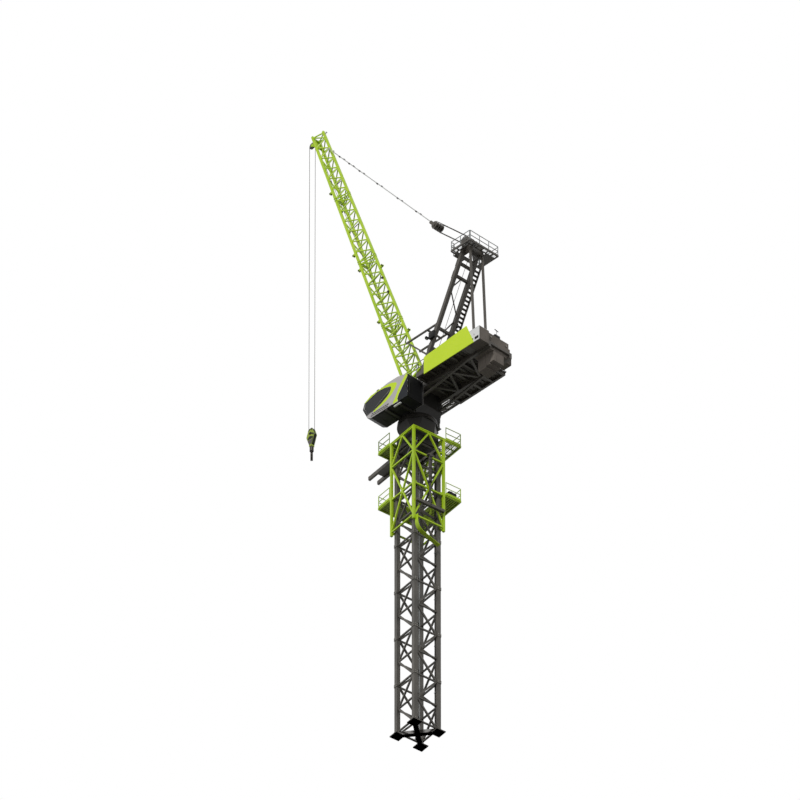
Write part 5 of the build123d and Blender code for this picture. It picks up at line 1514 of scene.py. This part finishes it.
@dataclass
class RunningRopes(Assembly):
    """The ropes that change their length: the luffing falls and the two hoist falls.

    Attributes:
        radius: Of a rope.
        reach: From a sheave's axle to the middle of its rope.
        rows: Where the luffing sheaves stand across the crane.
        steps: How many pieces a rope's length is divided into.
    """

    radius: float = 9.0
    reach: float = 157.5
    rows: tuple[float, ...] = (-180.0, -60.0, 60.0, 180.0)
    steps: int = 20

    def build(self) -> None:
        """Makes both sets of falls."""
        self.luffing_falls()
        self.hoist_falls()

    def rope(self, start: Vector, end: Vector) -> Piece:
        """Makes a rope whose length is divided into short pieces.

        Args:
            start: One end.
            end: The other end.

        Returns:
            The rope.
        """
        piece = rod(start, end, self.radius, 10)
        run = (end - start).normalized()
        spots = [vertex.co for vertex in piece.data.vertices]
        ends = [[spots[i] for i in edge.vertices] for edge in piece.data.edges]
        choose(piece, "EDGE", [abs((a - b).normalized().dot(run)) > SAME_WAY for a, b in ends])
        bpy.ops.mesh.subdivide(number_cuts=self.steps)
        bpy.ops.object.mode_set(mode="OBJECT")
        return piece

    def hang(self, name: str, pieces: list, bodies: tuple[str, str], start: Vector, end: Vector) -> None:
        """Joins ropes into one piece, gives it its finish and hides the frame's node that the ropes stand
        for.

        Args:
            name: Of the frame's node that the ropes stand for.
            pieces: The ropes.
            bodies: The bodies at the ropes' two ends; not used.
            start: Where they leave the first body; not used.
            end: Where they reach the second one; not used.
        """
        piece = merge(pieces)
        self.coat(piece, f"{name}_wire", "wire_rope", ROPE_SMOOTH)
        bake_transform(piece)
        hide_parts(name)

    def luffing_falls(self) -> None:
        """Runs two falls at each sheave between the A-frame head and the floating block."""
        head, floating = Vector((-2800, 0, 22100)), Vector((-1115, 0, 23800))
        normal = Vector((0, 1, 0)).cross((floating - head).normalized())
        made = []
        for y in self.rows:
            for hand in (-1, 1):
                step = normal * (hand * self.reach) + Vector((0, y, 0))
                made.append(self.rope(head + step, floating + step))
        self.hang("luffing_falls", made, ("upperworks", "jib"), head, floating)

    def hoist_falls(self) -> None:
        """Hangs the hook block's sheave in two falls from the tip sheave."""
        tip, hook = Vector((5784.4, 0, 31777.8)), Vector((5784.4, 0, 17667.8))
        steps = [Vector((hand * self.reach, 0, 0)) for hand in (-1, 1)]
        made = [self.rope(tip + step, hook + step) for step in steps]
        self.hang("hoist_ropes", made, ("rope_swing", "hook_block"), tip, hook)


@dataclass
class HookBlockFittings(Assembly):
    """Stripes, axle nuts and sheave guards of the hook block.

    Attributes:
        x: Where the block hangs.
        axle: Height of its sheave's axle.
        face: Outer face of a cheek.
    """

    body: str = "hook_block"
    x: float = 5784.4
    axle: float = 17667.8
    face: float = 79.0

    def build(self) -> None:
        """Makes every fitting of the hook block."""
        self.paint_cheeks()
        self.axle_boss()
        self.edge_guards()

    def paint_cheeks(self) -> None:
        """Paints the head and two slanted stripes of each cheek in black, and its foot in dark grey."""
        areas = (
            ((-86, 230), (86, 230), (126, 128), (62, 142), (0, 200), (-62, 142), (-126, 128)),
            ((24, -34), (56, 20), (196, -70), (203, -132), (170, -140)),
            ((-150, -215), (-96, -150), (-20, -112), (60, -160), (166, -232), (152, -280), (-148, -280)),
            ((-148, -300), (148, -300), (70, -522), (-70, -522)),
        )
        finishes = ("black_plastic", "black_plastic", "black_plastic", "mast_grey")
        for number, (area, finish) in enumerate(zip(areas, finishes)):
            made = []
            for hand in (-1, 1):
                low, high = sorted((hand * self.face, hand * (self.face + 1.2)))
                made.append(plate([(self.x - r, self.axle + v) for r, v in area], "Y", low, high))
            self.put(f"hook_block_paint_{number}", finish, *made)

    def axle_boss(self) -> None:
        """Closes the sheave's axle with a dark boss and a nut on each cheek."""
        made = []
        for hand in (-1, 1):
            out = hand * (self.face + 22)
            made.append(rod((self.x, hand * self.face, self.axle), (self.x, out, self.axle), 60, 24, 5))
            made.append(rod((self.x, out, self.axle), (self.x, out + hand * 16, self.axle), 34, 6))
        self.put("hook_block_axle", "greased_steel", *made)

    def edge_guards(self) -> None:
        """Closes the edges between the cheeks, with a slot on each side for the ropes."""
        guards = (((88, 222), (128, 108)), ((178, -22), (203, -100)), ((203, -116), (74, -505)))
        made = []
        for hand in (-1, 1):
            for start, end in guards:
                first, last = ((self.x + hand * r, 0, self.axle + v) for r, v in (start, end))
                made.append(bar(first, last, 109, 10, 2))
        self.put("hook_block_guards", "black_plastic", *made)


@dataclass
class Studio:
    """The camera, the light and the floor.

    Attributes:
        aim: Point at the middle of the picture.
        back: Direction from the aim to the camera.
        distance: Between the aim and the camera, far enough for upright ropes to stay upright.
        lens_mm: Focal length.
        floor_radius: Of the pale floor.
        sky: Strength of the sky's light.
        sunshine: Strength of the sun.
        towards_sun: Where the sun stands.
    """

    aim: Vector = field(default_factory=lambda: Vector((0.954, 0.0, 16.57)))
    back: Vector = field(default_factory=lambda: Vector((-0.5629, 0.5437, -0.6225)))
    distance: float = 1000.0
    lens_mm: float = 1188.0
    floor_radius: float = 60.0
    sky: float = 0.6
    sunshine: float = 2.0
    towards_sun: Vector = field(default_factory=lambda: Vector((-0.35, 0.75, 0.62)))

    def build(self) -> None:
        """Sets up everything that isn't part of the crane."""
        self.camera()
        self.world()
        self.sun()
        self.floor()

    def camera(self) -> None:
        """Places the camera low and far away, looking up at the crane."""
        data = bpy.data.cameras.new("camera")
        data.lens = self.lens_mm
        data.clip_start = 1.0
        data.clip_end = 4 * self.distance
        back = self.back.normalized()
        camera = self.place("camera", data, back)
        camera.location = self.aim + back * self.distance
        bpy.context.scene.camera = camera

    def place(self, name: str, data: Any, back: Vector) -> Piece:
        """Adds the camera or a light to the scene.

        Args:
            name: Of the object.
            data: Its camera or light data.
            back: Which way its back looks.

        Returns:
            The object, at the origin.
        """
        made = bpy.data.objects.new(name, data)
        bpy.context.scene.collection.objects.link(made)
        made.rotation_euler = back.to_track_quat("Z", "Y").to_euler()
        return made

    def world(self) -> None:
        """Lights the scene by a plain sky and shows white behind the crane."""
        world = bpy.data.worlds.new("overcast")
        world.use_nodes = True
        tree = world.node_tree
        tree.nodes.clear()
        path = add_node(tree, "ShaderNodeLightPath").outputs
        seen = calculate(tree, "MAXIMUM", path["Is Camera Ray"], path["Is Transmission Ray"])
        bright = calculate(tree, "MAXIMUM", seen, path["Is Glossy Ray"])
        sky, white = [
            add_node(tree, "ShaderNodeBackground", links={"Color": linear(colour), "Strength": strength})
            for colour, strength in (("f4f6f8", self.sky), ("ffffff", 1.0))
        ]
        mixed = mix_shaders(tree, bright, sky.outputs["Background"], white.outputs["Background"])
        add_node(tree, "ShaderNodeOutputWorld", links={"Surface": mixed})
        bpy.context.scene.world = world

    def sun(self) -> None:
        """Adds a soft sun from above on the cab's side."""
        data = bpy.data.lights.new("sun", "SUN")
        data.energy = self.sunshine
        data.angle = math.radians(8)
        self.place("sun", data, self.towards_sun)

    def floor(self) -> None:
        """Lays a pale floor that only shows from above, since the camera stands lower."""
        deselect()
        bpy.ops.mesh.primitive_circle_add(vertices=96, radius=self.floor_radius, fill_type="NGON")
        floor = bpy.context.object
        floor.name = "floor"
        material, tree, shader = blank_material("pale_floor")
        path = add_node(tree, "ShaderNodeLightPath").outputs
        # it looks pale, yet throws little light up, so that undersides stay as dark as under an open sky
        shade = mix(tree, path["Is Diffuse Ray"], linear("e9e9e7"), linear("6a6a6a"))
        set_inputs(tree, shader, {"Roughness": 0.9, "Base Color": shade})
        side = add_node(tree, "ShaderNodeNewGeometry").outputs["Backfacing"]
        hidden = calculate(tree, "MULTIPLY", side, path["Is Camera Ray"])
        clear = add_node(tree, "ShaderNodeBsdfTransparent")
        mixed = mix_shaders(tree, hidden, shader.outputs["BSDF"], clear.outputs["BSDF"])
        set_inputs(tree, tree.nodes["Material Output"], {"Surface": mixed})
        floor.data.materials.append(material)


def dress_frame(frame: dict, materials: dict[str, bpy.types.Material]) -> None:
    """Gives every piece of the frame its finish.

    Args:
        materials: The made finishes by name.
    """
    chosen = {node: finish for finish, nodes in NODE_FINISH.items() for node in nodes.split()}
    for node, piece in frame["nodes"].items():
        material = materials[chosen[node]]
        for slot in piece.material_slots:
            slot.material = material
        if not piece.material_slots:
            piece.data.materials.append(material)
        log.info("%s: %s", node, material.name)


def main() -> None:
    """Builds the scene around the frame, piece by piece."""
    logging.basicConfig(level=logging.INFO, format="%(name)s: %(message)s")
    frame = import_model()
    bpy.context.scene.view_settings.view_transform = "Standard"
    Studio().build()
    materials = {name: finish.make() for name, finish in FINISHES.items()}
    dress_frame(frame, materials)
    MastFittings(materials, frame=MAST_TURN).build()
    CageFittings(materials, frame=MAST_TURN).build()
    BearingFittings(materials).build()
    SlewingDrives(materials).build()
    CabFittings(materials).build()
    CounterJibFittings(materials).build()
    AFrameFittings(materials).build()
    JibFittings(materials).build()
    RunningRopes(materials).build()
    HookBlockFittings(materials).build()


if __name__ == "__main__":
    main()
